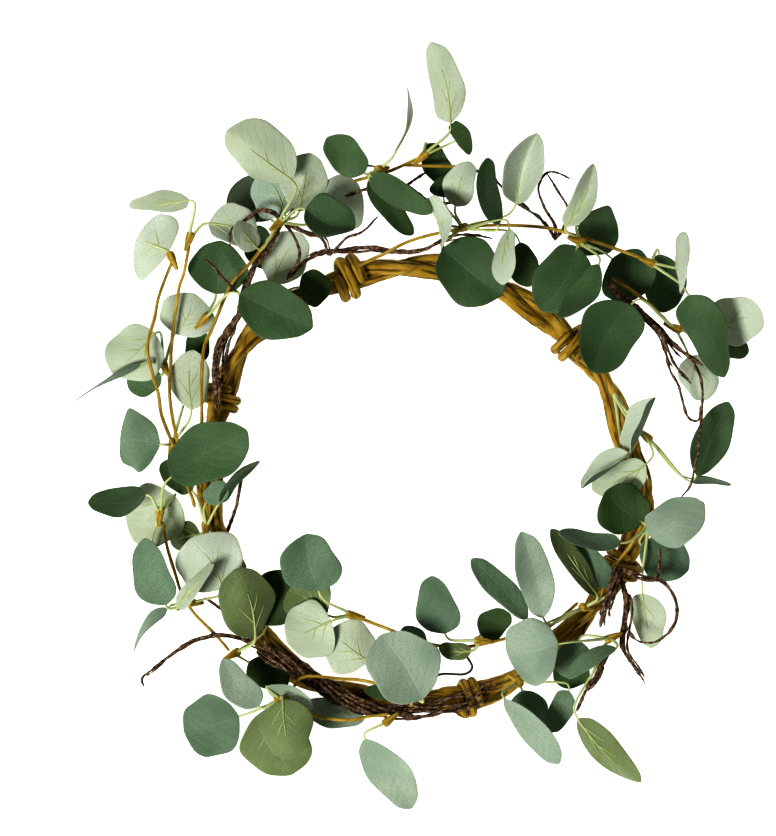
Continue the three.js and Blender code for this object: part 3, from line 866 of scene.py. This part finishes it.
@dataclass
class Sprig:
    """Moulded stalks that leave a taped collar and each carry a glued cloth blade."""

    plan: SprigPlan
    stalk_mm: float = 0.75
    rib_mm: float = 0.3
    cloth_mm: float = 0.5
    # where each side rib starts, how far along the blade it runs, and how far out
    ribs: tuple[Point, ...] = ((0.1, 0.3, 0.5), (0.2, 0.3, 0.46), (0.36, 0.24, 0.4))

    def build(self, shop: Workshop, seed: int) -> None:
        """Build the sprig's stalks as one piece and each blade as its own.

        Args:
            shop: The workshop that finishes the pieces.
            seed: Where the sprig's blades start in the run of small bends.
        """
        stalks = bmesh.new()
        for i, plan in enumerate(self.plan.leaves):
            blade = Blade(plan, seed + i)
            self.add_stalk(stalks, blade)
            self.add_blade(shop, blade, i)
        self.add_collar(stalks)
        shop.piece(self.plan.node + "_stalks", self.plan.node, stalks, [Finish.STALK, Finish.STEM])

    def add_blade(self, shop: Workshop, blade: Blade, index: int) -> None:
        """Finish one blade with its thickness and a smooth surface.

        Args:
            shop: The workshop that finishes the piece.
            blade: The blade.
            index: Its place in the sprig.
        """
        name = f"{self.plan.node}_blade_{index + 1}"
        made = shop.piece(name, self.plan.node, blade.mesh(), blade.plan.finishes())
        shell = made.modifiers.new("cloth", "SOLIDIFY")
        shell.thickness = self.cloth_mm * MM
        shell.offset = 0.0
        shell.material_offset = 1
        rounding = made.modifiers.new("rounding", "SUBSURF")
        rounding.levels = rounding.render_levels = 1

    def add_stalk(self, mesh: bmesh.types.BMesh, blade: Blade) -> None:
        """Run a stalk from the collar into the blade's midrib and branch alternate ribs off it.

        Args:
            mesh: The mesh that gets the stalk.
            blade: The blade that it carries.
        """
        side = 1 if blade.plan.underside_up else -1
        lift = side * 0.3 * MM
        start, base = Vector(self.plan.collar) * MM, blade.base
        gap = (base - start).length
        leaving = start.lerp(base, 0.4) + UP * (0.1 * gap)
        arriving = base - blade.along * (0.33 * gap)
        bend = [
            start * (1 - t) ** 3 + leaving * (3 * t * (1 - t) ** 2)
            + arriving * (3 * t * t * (1 - t)) + base * t**3
            for t in (0.0, 0.2, 0.4, 0.6, 0.8)
        ]
        rib = [blade.point(s, 0.0, lift) for s in (0.02, 0.14, 0.28, 0.42, 0.56, 0.66)]
        route = [tuple(p / MM) for p in (*bend, *rib)]
        sweep(mesh, smooth_route(route, 1.4), tapered(self.stalk_mm, tip=0.22, cap=0.02), sides=8)
        first = blade.seed % 2 * 2 - 1
        for k, (s, reach, spread) in enumerate(self.ribs):
            hand = first if k % 2 else -first
            vein = [blade.point(s + reach * t, hand * spread * t, lift) for t in (0.0, 0.33, 0.66, 1.0)]
            vein_route = smooth_route([tuple(p / MM) for p in vein], 1.5)
            sweep(mesh, vein_route, tapered(self.rib_mm, tip=0.35), sides=6)

    def add_collar(self, mesh: bmesh.types.BMesh) -> None:
        """Wind the swelling of paper tape where the stalks leave their stem.

        Args:
            mesh: The mesh that gets the collar.
        """
        collar = Vector(self.plan.collar) * MM
        leaves = self.plan.leaves
        middle = sum((Vector(one.base) for one in leaves), Vector()) * (MM / len(leaves))
        heading = (middle - collar).normalized()
        stations = [collar + heading * (t * MM) for t in (-5.6, -4.2, -2.9, -1.6, -0.3, 1.0, 2.3, 2.9)]
        swell = (0.75, 1.0, 1.25, 1.5, 1.75, 1.9, 1.85, 1.2)

        def radius(fraction: float) -> float:
            """Give the tape's radius at a fraction of the collar."""
            spot = fraction * (len(swell) - 1)
            low = min(int(spot), len(swell) - 2)
            return (swell[low] + (swell[low + 1] - swell[low]) * (spot - low)) * MM

        sweep(mesh, stations, radius, sides=12, crease=0.08, slot=1)


# Stems, twigs and wire -------------------------------------------------------------------------


@dataclass
class Stems:
    """Wire stems wound with paper tape; the routes of one node leave the same stem."""

    radius_mm: float = 0.72
    step_mm: float = 1.3

    def build(self, shop: Workshop) -> None:
        """Build every stem.

        Args:
            shop: The workshop that finishes the pieces.
        """
        for node, routes in STEM_ROUTES.items():
            mesh = bmesh.new()
            for route in routes:
                radius = tapered(self.radius_mm, cap=0.01)
                sweep(mesh, smooth_route(route, self.step_mm), radius, sides=12, crease=0.13)
            shop.piece(node + "_tape", node, mesh, [Finish.STEM])


@dataclass
class Twigs:
    """Dark twigs with buds, thin tendrils, and the bundle that lies along the front of the hoop."""

    bundle_from_mm: float = 1.55
    thick_mm: float = 1.05
    thin_mm: float = 0.85
    short_mm: float = 18.0
    strand_share: float = 4.0
    strand_pitch_mm: float = 95.0
    step_mm: float = 0.8
    waver_seed: int = 11  # without it the clock seeds noise_vector, and each run wavers its own way

    def build(self, shop: Workshop) -> None:
        """Build every twig, then the hook of binding wire.

        Args:
            shop: The workshop that finishes the pieces.
        """
        noise.seed_set(self.waver_seed)
        for seed, (node, branches) in enumerate(TWIG_ROUTES.items()):
            mesh = bmesh.new()
            for i, (radius, route) in enumerate(branches):
                if radius > self.bundle_from_mm:
                    self.add_bundle(mesh, radius, route, seed)
                else:
                    stations = smooth_route(route, self.step_mm)
                    self.add_twig(mesh, radius, stations, seed * 10 + i)
                    self.add_companions(mesh, radius, stations, seed * 10 + i)
            shop.piece(node + "_bark", node, mesh, [Finish.TWIG])
        hook = bmesh.new()
        sweep(hook, smooth_route(HOOK_ROUTE, 0.8), tapered(0.55, cap=0.02), sides=10)
        shop.piece("hook_wire_end", "hook_wire", hook, [Finish.WIRE])

    def add_twig(self, mesh: bmesh.types.BMesh, radius: float, stations: list[Vector], seed: int) -> None:
        """Sweep one twig, which wavers a little about its route.

        Args:
            mesh: The mesh that gets the twig.
            radius: Its radius in millimetres.
            stations: Its route, in metres.
            seed: Which run of wavers and buds.
        """
        length = sum((b - a).length for a, b in zip(stations, stations[1:])) / MM
        wander = [
            p + noise.noise_vector(p * 120.0 + Vector((seed, 0, 0))) * (0.6 * MM) for p in stations
        ]
        sweep(mesh, wander, knotty(radius * 0.8, seed, length), sides=8, crease=0.5)

    def add_companions(
        self, mesh: bmesh.types.BMesh, radius: float, stations: list[Vector], seed: int
    ) -> None:
        """Lay thinner twigs beside a long one, each along its own part of the route.

        Args:
            mesh: The mesh that gets the twigs.
            radius: The long twig's radius in millimetres.
            stations: Its route, in metres.
            seed: Which run of parts and offsets.
        """
        rng = random.Random(seed + 500)
        length = sum((b - a).length for a, b in zip(stations, stations[1:])) / MM
        thick = radius > self.thick_mm
        count = 4 if thick else 1 if radius > self.thin_mm else 0
        for k in range(count if length >= self.short_mm else 0):
            first = int(len(stations) * rng.uniform(0.0, 0.3))
            last = int(len(stations) * rng.uniform(0.6, 0.98))
            aside = Vector((rng.uniform(-1, 1), rng.uniform(-1, 1), rng.uniform(-0.5, 0.4))).normalized()
            reach = rng.uniform(1.6, 3.4 if thick else 2.0) * MM
            near = [
                p + aside * (reach * (0.5 + 0.9 * noise.noise(p * 45.0 + Vector((k, seed, 0)))))
                for p in stations[first:last]
            ]
            self.add_twig(mesh, min(0.75, radius * 0.62), near, seed + 50 + k)

    def add_bundle(self, mesh: bmesh.types.BMesh, radius: float, route: Sequence[Point], seed: int) -> None:
        """Lay several thin twigs side by side, slowly winding round one another.

        Args:
            mesh: The mesh that gets the twigs.
            radius: The bundle's radius in millimetres.
            route: Its middle, in millimetres.
            seed: Which run of strands.
        """
        count = round(radius * self.strand_share)
        middle = smooth_route(route, self.step_mm)
        turns = station_turns(middle)
        rng = random.Random(seed)
        for k in range(count):
            stations = []
            for i, centre in enumerate(middle):
                angle = 2 * math.pi * (k / count + i * self.step_mm / self.strand_pitch_mm)
                reach = 1.15 * radius * (1 + 1.1 * noise.noise(centre * 60.0 + Vector((3.7 * k, 0, 0))))
                offset = turns[i] @ Vector((math.cos(angle), math.sin(angle), 0.0))
                stations.append(centre + offset * (reach * MM))
            first, last = rng.uniform(0.0, 0.12), rng.uniform(0.7, 1.0)
            part = stations[int(len(stations) * first) : int(len(stations) * last)]
            self.add_twig(mesh, rng.uniform(0.7, 1.0), part, seed + 100 + k)


STEM_ROUTES = {
    "stem_left_inner": (
        ((-100, 22, 24), (-100, 45, 27), (-99, 58, 26), (-96, 65, 25), (-92, 75, 24), (-89, 82, 25),
            (-85, 88, 27), (-80, 93, 30), (-75, 99, 33), (-70, 105, 36), (-66.5, 110.5, 38)),
    ),
    "stem_left_outer": (
        ((-103, -11, 24.5), (-104.5, -6, 25), (-107, 0, 26), (-109, 10, 27), (-111, 20, 27),
            (-113, 30, 27), (-114, 40, 25), (-113.5, 50, 24), (-113, 61, 23), (-110, 82, 28),
            (-107.5, 90, 31), (-105, 102, 34)),
    ),
    "stem_left_curl": (
        ((-111, 12, 20), (-117, 28, 28), (-118.5, 38, 32), (-121, 47, 35), (-123, 58, 37), (-120, 70, 38),
            (-118, 80, 36), (-112.5, 95, 33)),
    ),
    "stem_lower_left": (
        ((-117, -17, 26), (-115, -28, 25), (-112, -38, 25), (-108.5, -48.5, 25), (-103, -57, 25),
            (-95, -65, 25), (-88, -73, 25)),
    ),
    "stem_bottom_left": (
        ((-62, -91, 27), (-52, -100, 27), (-45, -102, 27), (-35, -102.5, 27), (-28, -101, 27),
            (-19, -100, 27.5)),
        ((-62, -91, 27), (-56, -84, 28.5), (-40, -84.7, 30), (-30, -85.5, 30), (-16, -89, 31)),
    ),
    "stem_bottom_front": (
        ((-33, -58, 36), (-20, -63, 34), (-10, -67, 32), (0, -70, 31), (10, -71, 30), (20, -70, 29),
            (40, -65, 28), (50, -62, 28), (62, -52, 27)),
    ),
    "stem_right_lower": (
        ((62, -61, 23), (68, -56, 23.5), (72, -50, 24), (74, -43, 24), (77, -37, 25), (83, -30, 25),
            (87, -24, 25), (90, -17, 24.5), (93, -8, 23), (93, 2, 22), (88, 15, 21)),
    ),
    "stem_top": (
        ((-33, 93, 23), (-22, 98, 26), (-12, 103, 29), (0, 106.5, 32), (20, 110, 34), (45, 109.5, 36),
            (60, 106, 37), (75, 101, 38), (90, 95.5, 40)),
    ),
    "stem_top_upper": (
        ((-35, 129, 36), (-20, 133, 39), (-6, 139, 42)),
        ((-14, 136, 40), (-6, 135.5, 41), (10, 135, 40), (20, 133, 38)),
    ),
    "stem_right_upper": (
        ((76, 88, 33), (88, 80, 34), (95, 74, 34), (102, 67, 34)),
    ),
}

TWIG_ROUTES = {
    "twig_top_left": (
        (1.5, ((-94, 28, 24), (-94, 40, 24.5), (-94.5, 50, 23), (-93, 58, 22), (-89, 65, 21.5),
            (-84, 73, 22), (-82, 82, 23), (-78, 92, 25), (-72, 100, 26), (-65, 112, 27), (-56, 121, 22))),
        (0.9, ((-94, 40, 24.5), (-91, 46, 21), (-89, 58, 20), (-86, 66, 21), (-84, 73, 22))),
        (0.9, ((-65, 112, 27), (-60, 105, 28), (-58, 98, 29), (-60, 92, 28), (-63, 87, 27))),
        (0.9, ((-65, 112, 27), (-69, 116, 38), (-75, 116.5, 38), (-80, 113, 37.5), (-87, 108, 38.5),
            (-87, 100, 38.5))),
        (0.9, ((-65, 112, 27), (-55, 107, 28), (-50, 106, 28), (-47, 103, 28), (-45, 98, 28),
            (-38, 105, 30), (-32, 107, 32), (-24, 114, 33))),
        (0.8, ((-83, 80, 23), (-88, 85, 36), (-98.5, 96, 42))),
    ),
    "twig_top_cross": (
        (1.1, ((-62, 88, 23.5), (-57, 94, 24), (-50, 98, 23), (-40, 100, 21.5), (-28, 101, 20),
            (-16, 99, 21), (-5, 100, 23), (6, 105, 26), (15, 106.5, 28), (25, 104.5, 28))),
    ),
    "twig_upper": (
        (1, ((-38, 123, 33), (-28, 126, 35), (-20, 128, 35), (-12, 127, 35), (-4, 122, 35),
            (3, 119.5, 36), (11, 120.5, 36))),
        (0.8, ((-12, 127, 35), (-8, 130, 36), (-3, 133, 36))),
        (0.7, ((-20, 128, 35), (-21.5, 131.5, 34), (-24, 134.5, 35), (-29, 135.5, 38), (-36, 132.5, 40))),
    ),
    "twig_top_right": (
        (0.8, ((52, 104, 29), (47, 112, 32), (41, 116, 40), (35, 119.5, 42))),
        (0.8, ((52, 104, 29), (52, 110, 31), (46, 120, 38), (45, 127, 40), (48, 132, 41), (52, 132.5, 40),
            (58, 130, 38))),
        (0.8, ((52, 104, 29), (56, 110, 33), (57, 117, 37), (53, 125, 40), (48, 132, 41))),
        (0.8, ((41, 116, 40), (34, 123, 41), (28, 128, 40), (25, 132, 40))),
    ),
    "twig_right": (
        (1.4, ((74, 86, 39), (83, 78, 41), (90, 72, 42), (97, 65, 42), (105, 57, 42), (115, 50, 42))),
        (0.9, ((83, 78, 41), (90, 70, 46), (96, 65, 46), (99, 58, 46), (103, 50, 45), (110, 42, 43))),
        (0.8, ((97, 65, 42), (101, 48, 44), (105, 40, 42), (107, 32, 40), (110, 27, 38), (113.5, 27, 38),
            (114, 33, 38))),
        (0.8, ((110, 53.5, 42), (114, 43, 45), (114, 30, 48), (112.5, 15, 48), (110, 0, 43),
            (106, -6, 39))),
    ),
    "twig_lower_right": (
        (1.6, ((79, -37, 31), (77, -45, 35), (74, -54, 34), (72, -64, 30))),
        (1.3, ((79, -37, 31), (82, -48, 29), (82, -60, 28), (81, -71, 27), (86, -79, 25), (91, -87, 22))),
        (0.9, ((79, -37, 31), (88, -41, 34), (98, -43, 36), (104, -52, 37), (103, -61, 37), (96, -68, 36),
            (87, -68, 34), (82, -60, 28))),
        (0.9, ((88, -41, 34), (95, -42, 33), (97, -36, 33), (97, -28, 33))),
    ),
    "twig_bottom_right": (
        (1.3, ((75, -73, 29), (70, -82, 36), (66, -88, 38), (61, -98.5, 38))),
    ),
    "twig_rope": (
        (2.2, ((-78, -69, 22.5), (-70, -75, 21.5), (-60, -80, 21.3), (-50, -87, 21.3), (-40, -93, 21.3),
            (-30, -97, 21.3), (-15, -99, 21.3), (0, -98, 21.8), (14, -93.5, 23.8), (25, -87, 21.5),
            (33, -82, 21))),
        (1, ((-78, -69, 22.5), (-90, -66, 29), (-97, -66, 30), (-106, -69, 30), (-118, -78, 30),
            (-125.5, -84, 29), (-125, -88, 28))),
        (0.9, ((-78, -69, 22.5), (-85, -60, 25), (-99, -49.5, 26.5))),
    ),
    "twig_left_inner": (
        (0.9, ((-89, -22, 18.5), (-85, -8, 15), (-82, 7, 17))),
    ),
}

HOOK_ROUTE = ((-3, -86, 19.5), (3.5, -83, 21), (13, -83, 22), (16.5, -80, 22.5), (14, -75, 23))

# A leaf that lies in shade wears a darker copy of its cloth, and one that faces the light wears a lighter
# copy: painted shade and painted sheen.
SPRIG_PLANS = (
    SprigPlan("sprig_top_left", (-66.5, 111, 41.5), (
        Leaf(SAGE, (-60.5, 129, 48), (-88.5, 150, 56), 30, -28, -28),
        Leaf(GREEN, (-55, 117, 46), (-34, 108, 52), 24, -30, 30),
        Leaf(SAGE, (-58, 116, 36), (-53, 141, 40), 21, 15, -12),
        Leaf(HAZE, (-64, 115, 31), (-74, 134, 25), 24, -5, -8),
        Leaf(SHADED_GREEN, (-70, 113, 29), (-84, 131, 8), 20, 0, 10),
        Leaf(PALE, (-52, 112, 34), (-33, 129, 27), 25, 0, -8),
        Leaf(SAGE, (-76, 100, 42), (-85, 111, 45), 14, 40, -8),
    )),
    SprigPlan("sprig_left_top", (-105, 104.5, 35), (
        Leaf(SAGE, (-105, 121, 41), (-131, 118, 37), 18, -62, -8),
        Leaf(PALE, (-97, 111, 34), (-76, 106, 28), 22, -18, 30),
    )),
    SprigPlan("sprig_left_curl", (-112.7, 96.2, 33), (
        Leaf(PALE, (-114, 99, 33), (-129, 105, 12), 31, 0, -10),
    )),
    SprigPlan("sprig_left_upper", (-99.2, 70, 25), (
        Leaf(GREEN, (-94, 81, 20.5), (-92, 104, 23), 26, 0, 12),
        Leaf(GREEN, (-83.5, 81, 35), (-52, 66, 40), 25, 0, 16),
    )),
    SprigPlan("sprig_left_shadow", (-68, 80, 18), (
        Leaf(PALE, (-70, 86, 18.5), (-57, 107, 19), 21, 0, -6),
        Leaf(SHADED_GREEN, (-58, 84, 20.5), (-44, 84, 23), 16, 0, 8),
        Leaf(SHADED_GREEN, (-73, 92, 13), (-76, 111, 11), 13, 0, 8),
    )),
    SprigPlan("sprig_left_mid", (-116.5, 50, 18), (
        Leaf(PALE, (-112, 64, 18.5), (-103, 81, 20), 25, 5, -8),
        Leaf(SAGE, (-120, 64, 29), (-139, 47, 23), 26, 5, -10),
        Leaf(LIT_TEAL, (-126, 50.5, 34), (-155, 34.5, 26), 8, 76, 4),
        Leaf(GREEN, (-118, 46, 14), (-133, 42, 8), 15, 0, 8),
    )),
    SprigPlan("sprig_left_low", (-113, 16, 18), (
        Leaf(LIT_TEAL, (-118, 16, 25), (-136, 17, 10), 27, 0, 10),
        Leaf(SAGE, (-104.5, 31, 21.8), (-104, 57, 21.8), 18, 0, 0),
        Leaf(SHADED_GREEN, (-104, 50, 14), (-101, 66, 12), 11, 0, 6),
    )),
    SprigPlan("sprig_left_big", (-118, -13.5, 27), (
        Leaf(GREEN, (-124, -5.5, 31), (-149, -9, 28), 17, 42, 10),
        Leaf(SAGE, (-112, -6, 21), (-130, -26, 14), 28, 0, -8),
        Leaf(GREEN, (-113, 2, 36), (-80, 22, 42), 26, 0, 14),
        Leaf(SHADED_GREEN, (-121.5, -28, 18), (-119, -43, 11), 10, 70, 4),
    )),
    SprigPlan("sprig_left_inner", (-98.5, -20, 18), (
        Leaf(SHADED_GREEN, (-104.5, -4, 17), (-118, 8, 14), 13, 0, 8),
        Leaf(LIT_TEAL, (-98, -9, 24), (-90, 0, 27), 10, 0, 10),
        Leaf(SHADED_OLIVE, (-101, -23, 16), (-114, -27, 6), 14, 0, -8),
        Leaf(SHADED_GREEN, (-92, -9, 25), (-75, 9, 30), 9, 60, 8),
    )),
    SprigPlan("sprig_lower_left", (-104, -52, 29.5), (
        Leaf(PALE, (-91, -46, 31), (-104.5, -24, 35), 31, 0, -10),
        Leaf(SAGE, (-110, -54, 38), (-94, -35, 43), 12, -58, 6),
        Leaf(LIT_TEAL, (-115.5, -53, 32), (-124, -24, 37), 20, -25, 14),
        Leaf(LIT_TEAL, (-115, -54.5, 27), (-129.5, -73, 20), 11, 68, 6),
    )),
    SprigPlan("sprig_lower_left_inner", (-86, -74, 27), (
        Leaf(SHADED_OLIVE, (-77, -67, 31), (-85, -37, 40), 28, 28, -14),
        Leaf(SHADED_GREEN, (-72, -62, 23), (-66, -38, 20.5), 20, 0, 6),
        Leaf(SHADED_GREEN, (-80, -78, 19), (-63, -88, 16), 15, 0, 6),
    )),
    SprigPlan("sprig_bottom_left", (-66, -93.5, 30), (
        Leaf(MIST, (-72, -88, 33), (-52, -97, 34), 14, 50, 8),
        Leaf(LIT_TEAL, (-84, -101, 26), (-108, -108, 20), 28, 0, 12),
        Leaf(MIST, (-75.5, -96.5, 32), (-91, -76, 37), 14, 8, 8),
        Leaf(SHADED_OLIVE, (-64.8, -93, 40), (-61, -118.5, 46), 24, 12, -16),
        Leaf(SHADED_OLIVE, (-71, -97, 26), (-62, -127, 18), 31, 0, -10),
        Leaf(MIST, (-56, -96, 21), (-30, -103, 14), 13, 0, 6),
    )),
    SprigPlan("sprig_bottom_mid", (-35, -57, 38.5), (
        Leaf(SAGE, (-44, -59.5, 40), (-63, -69, 36), 27, 0, -14),
        Leaf(SHADED_OLIVE, (-46, -57, 34), (-63, -47, 27), 22, 0, 8),
        Leaf(LIT_TEAL, (-49.5, -46.5, 44), (-55, -22, 49), 27, 0, 16),
    )),
    SprigPlan("sprig_bottom_front", (-11, -91, 32.5), (
        Leaf(MIST, (-5, -93, 43), (-23, -65, 49), 32, 0, 14),
        Leaf(SAGE, (-28, -77, 36), (-44, -63, 34), 25, 0, -14),
        Leaf(LIT_TEAL, (-5, -76, 33), (-13, -62, 35), 13, 0, 8),
        Leaf(SHADED_GREEN, (-14, -90, 26), (-30, -90, 25.5), 7, 0, 6),
    )),
    SprigPlan("sprig_bottom_tail", (-19.6, -102.8, 27.5), (
        Leaf(MIST, (-30, -110.5, 29), (-9.5, -141, 22), 21, 30, 12),
    )),
    SprigPlan("sprig_bottom_inner", (20, -68.3, 33.2), (
        Leaf(LIT_TEAL, (4.5, -65, 36), (-1, -40, 42), 19, -20, 14),
        Leaf(SHADED_OLIVE, (16, -72.5, 33), (2, -71, 35), 8, 0, 8),
        Leaf(SHADED_GREEN, (20, -66, 27), (33, -57, 26), 13, 0, 8),
    )),
    SprigPlan("sprig_lower_right_inner", (65, -54, 29.5), (
        Leaf(SHADED_OLIVE, (70, -49, 34), (50, -20, 38), 13, 42, 12),
        Leaf(LIT_TEAL, (77, -45, 29.5), (52, -25, 25), 15, 0, 8),
        Leaf(MIST, (46.5, -58, 44), (37, -21, 50), 16, 0, 14),
        Leaf(LIT_TEAL, (40, -59, 32), (16, -33, 33), 12, 20, 10),
    )),
    SprigPlan("sprig_lower_right_mid", (76, -67, 33), (
        Leaf(MIST, (53, -69, 48), (31, -73, 37), 30, 0, 12),
        Leaf(LIT_TEAL, (62, -68, 31), (56, -84, 29), 14, 0, 8),
        Leaf(LIT_TEAL, (78, -71, 39), (57, -84, 40), 10, 45, 8),
        Leaf(SHADED_GREEN, (66, -78, 19), (52, -86, 16), 14, 0, 6),
    )),
    SprigPlan("sprig_bottom_right", (36, -86, 24), (
        Leaf(LIT_TEAL, (58, -90, 27), (49.5, -108, 22), 11, 12, 8),
        Leaf(LIT_TEAL, (38, -90, 23), (43, -108, 18), 17, 0, 8),
        Leaf(MIST, (30, -93, 37), (54, -121, 32), 16, 42, 12),
    )),
    SprigPlan("sprig_bottom_right_tail", (71, -77, 25), (
        Leaf(SHADED_OLIVE, (62, -102, 27), (89.5, -130, 18), 17, 40, -14),
    )),
    SprigPlan("sprig_right_lower", (92, -19.5, 28.5), (
        Leaf(SHADED_GREEN, (90, -17.5, 30), (73.5, -4, 33.5), 24, 0, 10),
        Leaf(MIST, (91, -21.5, 42), (115.5, -9, 47), 21, 0, 14),
        Leaf(LIT_TEAL, (89, -27, 28), (110, -38, 22), 21, 0, 10),
        Leaf(LIT_TEAL, (80, -26, 36), (53, -21.5, 40), 12, 48, 10),
        Leaf(SAGE, (90, -48, 26), (94, -72, 18), 19, 38, -12),
    )),
    SprigPlan("sprig_right_inner", (77, 40, 24.5), (
        Leaf(PALE, (84, 12, 38), (94.8, 36.5, 42), 20, -58, 58),
        Leaf(PALE, (83.5, 12.5, 41), (62.7, -2.8, 43), 17, 54, 54),
        Leaf(SAGE, (91, 7.5, 31), (68, -3.5, 24), 15, 0, -6),
    )),
    SprigPlan("sprig_right_outer", (91.5, 19.5, 24), (
        Leaf(GREEN, (113, 2.5, 34), (126, 34.5, 40), 17, 14, 12),
        Leaf(GREEN, (111, 1, 30), (128, -1.5, 26), 9, 70, 6),
    )),
    SprigPlan("sprig_right_top", (92.5, 94, 42.5), (
        Leaf(GREEN, (97, 98, 24), (99.5, 73, 15), 18, 0, 8),
        Leaf(PALE, (104, 91.5, 45), (107, 91.5, 68), 27, 0, -10),
        Leaf(GREEN, (108.5, 80, 46), (123.7, 44.8, 51), 20, 30, 14),
    )),
    SprigPlan("sprig_right_mid", (103.5, 66, 36.5), (
        Leaf(PALE, (118, 66, 38), (139.5, 73, 51), 22, 0, -14),
        Leaf(SHADED_GREEN, (119, 61, 27), (136, 56, 20), 11, 0, 10),
        Leaf(PALE, (109.5, 54, 34), (117, 35, 31), 17, 0, -12),
        Leaf(GREEN, (84, 76, 50), (67, 47, 55), 27, 0, 16),
    )),
    SprigPlan("sprig_top_right", (62, 103, 42.3), (
        Leaf(GREEN, (62, 110, 35.5), (79.5, 104.5, 24), 23, 0, 8),
        Leaf(GREEN, (61, 101, 43), (46, 73, 46), 26, 0, 14),
        Leaf(GREEN, (70, 93, 51), (53, 70, 55), 15, 42, 12),
        Leaf(GREEN, (76.5, 96, 31), (92, 82, 28), 26, 0, 6),
        Leaf(SAGE, (56, 109.5, 44), (68, 136, 49), 14, 0, 42),
    )),
    SprigPlan("sprig_top_mid", (12, 109, 38), (
        Leaf(GREEN, (3.5, 100, 42), (29, 80, 47), 29, 0, 16),
        Leaf(PALE, (32, 108, 56), (29, 84, 60), 13, 42, -8),
        Leaf(PALE, (1.5, 111, 41), (7.5, 112.5, 62), 25, 0, 18),
        Leaf(SHADED_GREEN, (37, 103, 29), (41, 84, 25), 13, 0, 8),
        Leaf(PALE, (9, 118, 44), (15, 137, 49), 14, 0, -12),
        Leaf(GREEN, (27.5, 110, 46), (22.5, 138.5, 51), 14, 42, 8),
        Leaf(SHADED_GREEN, (4, 122, 41), (4, 131, 44), 11, 0, 8),
        Leaf(PALE, (35, 119, 45), (44, 149, 50), 29, 0, 55),
    )),
    SprigPlan("sprig_top", (-4.8, 139.6, 42.8), (
        Leaf(SAGE, (7, 153.5, 49), (-1.5, 187.5, 57), 16, -20, -14),
        Leaf(SHADED_GREEN, (9, 146, 46), (15, 149, 58), 16, 0, 12),
        Leaf(SHADED_GREEN, (-3, 145, 38), (8, 127, 33.5), 12, 0, 8),
    )),
    SprigPlan("sprig_top_inner", (-23, 134, 42.5), (
        Leaf(GREEN, (-30, 132, 47), (-46, 147, 51), 17, -25, 14),
        Leaf(SHADED_GREEN, (-28, 129.5, 42.5), (-9, 106, 37), 10, 0, 12),
        Leaf(GREEN, (-27.5, 131, 47.5), (-1, 115, 51), 13, 30, 12),
        Leaf(SAGE, (-17, 141, 46), (-11.5, 168.5, 51), 11, 82, 6),
    )),
)


# The studio ------------------------------------------------------------------------------------


@dataclass
class Studio:
    """A plain pale floor, one large low key light, a weak fill and a long lens overhead."""

    view_height: float = 0.3595
    lens_mm: float = 250.0
    sensor_mm: float = 36.0
    middle: Point = (-0.0198, 0.0275, 0.030)

    def build(self) -> None:
        """Build the floor, lights, world and camera."""
        self.add_floor()
        self.add_light("key", (-0.95, -0.6, 1.7), 0.6, 34.0)
        self.add_light("fill", (0.9, 0.6, 2.2), 1.6, 3.0)
        world = bpy.data.worlds.new("studio")
        bpy.context.scene.world = world
        world.use_nodes = True
        background = world.node_tree.nodes["Background"]
        background.inputs["Color"].default_value = linear("#ffffff")
        background.inputs["Strength"].default_value = 0.14
        self.add_camera()
        settings = bpy.context.scene.view_settings
        settings.view_transform = "Standard"
        settings.look = "Very High Contrast"

    def add_floor(self) -> None:
        """Lay the floor just under the crown."""
        mesh = bmesh.new()
        bmesh.ops.create_grid(mesh, x_segments=1, y_segments=1, size=4.0)
        bmesh.ops.translate(mesh, vec=(0.0, 0.0, -0.0004), verts=mesh.verts)
        data = bpy.data.meshes.new("floor")
        mesh.to_mesh(data)
        mesh.free()
        floor = bpy.data.objects.new("floor", data)
        bpy.context.scene.collection.objects.link(floor)
        made, node = new_material("pale_floor_card")
        surface = node("ShaderNodeBsdfPrincipled", {
            "Base Color": linear("#f4f4f2"), "Roughness": 0.9,
            "Emission Color": linear("#ffffff"), "Emission Strength": 0.5,
        })
        node("ShaderNodeOutputMaterial", {"Surface": surface})
        data.materials.append(made)

    def add_light(self, name: str, at: Point, size: float, watts: float) -> None:
        """Hang one square light that faces the crown.

        Args:
            name: The light's name.
            at: Its place, in metres.
            size: Its side, in metres.
            watts: Its power.
        """
        data = bpy.data.lights.new(name, "AREA")
        data.size = size
        data.energy = watts
        lamp = bpy.data.objects.new(name, data)
        lamp.location = at
        lamp.rotation_euler = (-Vector(at)).to_track_quat("-Z", "Y").to_euler()
        bpy.context.scene.collection.objects.link(lamp)

    def add_camera(self) -> None:
        """Hang the camera straight above the crown."""
        data = bpy.data.cameras.new("camera")
        data.lens = self.lens_mm
        data.sensor_width = self.sensor_mm
        distance = self.view_height * self.lens_mm / self.sensor_mm
        camera = bpy.data.objects.new("camera", data)
        camera.location = Vector(self.middle) + UP * distance
        bpy.context.scene.collection.objects.link(camera)
        bpy.context.scene.camera = camera


def main() -> None:
    """Load the frame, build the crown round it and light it."""
    logging.basicConfig(level=logging.INFO, format="%(message)s")
    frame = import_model()
    shop = Workshop(frame)
    VineHoop().build(shop)
    Stems().build(shop)
    Twigs().build(shop)
    seed = 1
    for plan in SPRIG_PLANS:
        Sprig(plan).build(shop, seed)
        seed += len(plan.leaves)
    Studio().build()
    LOG.info("%d pieces", shop.count)


if __name__ == "__main__":
    main()
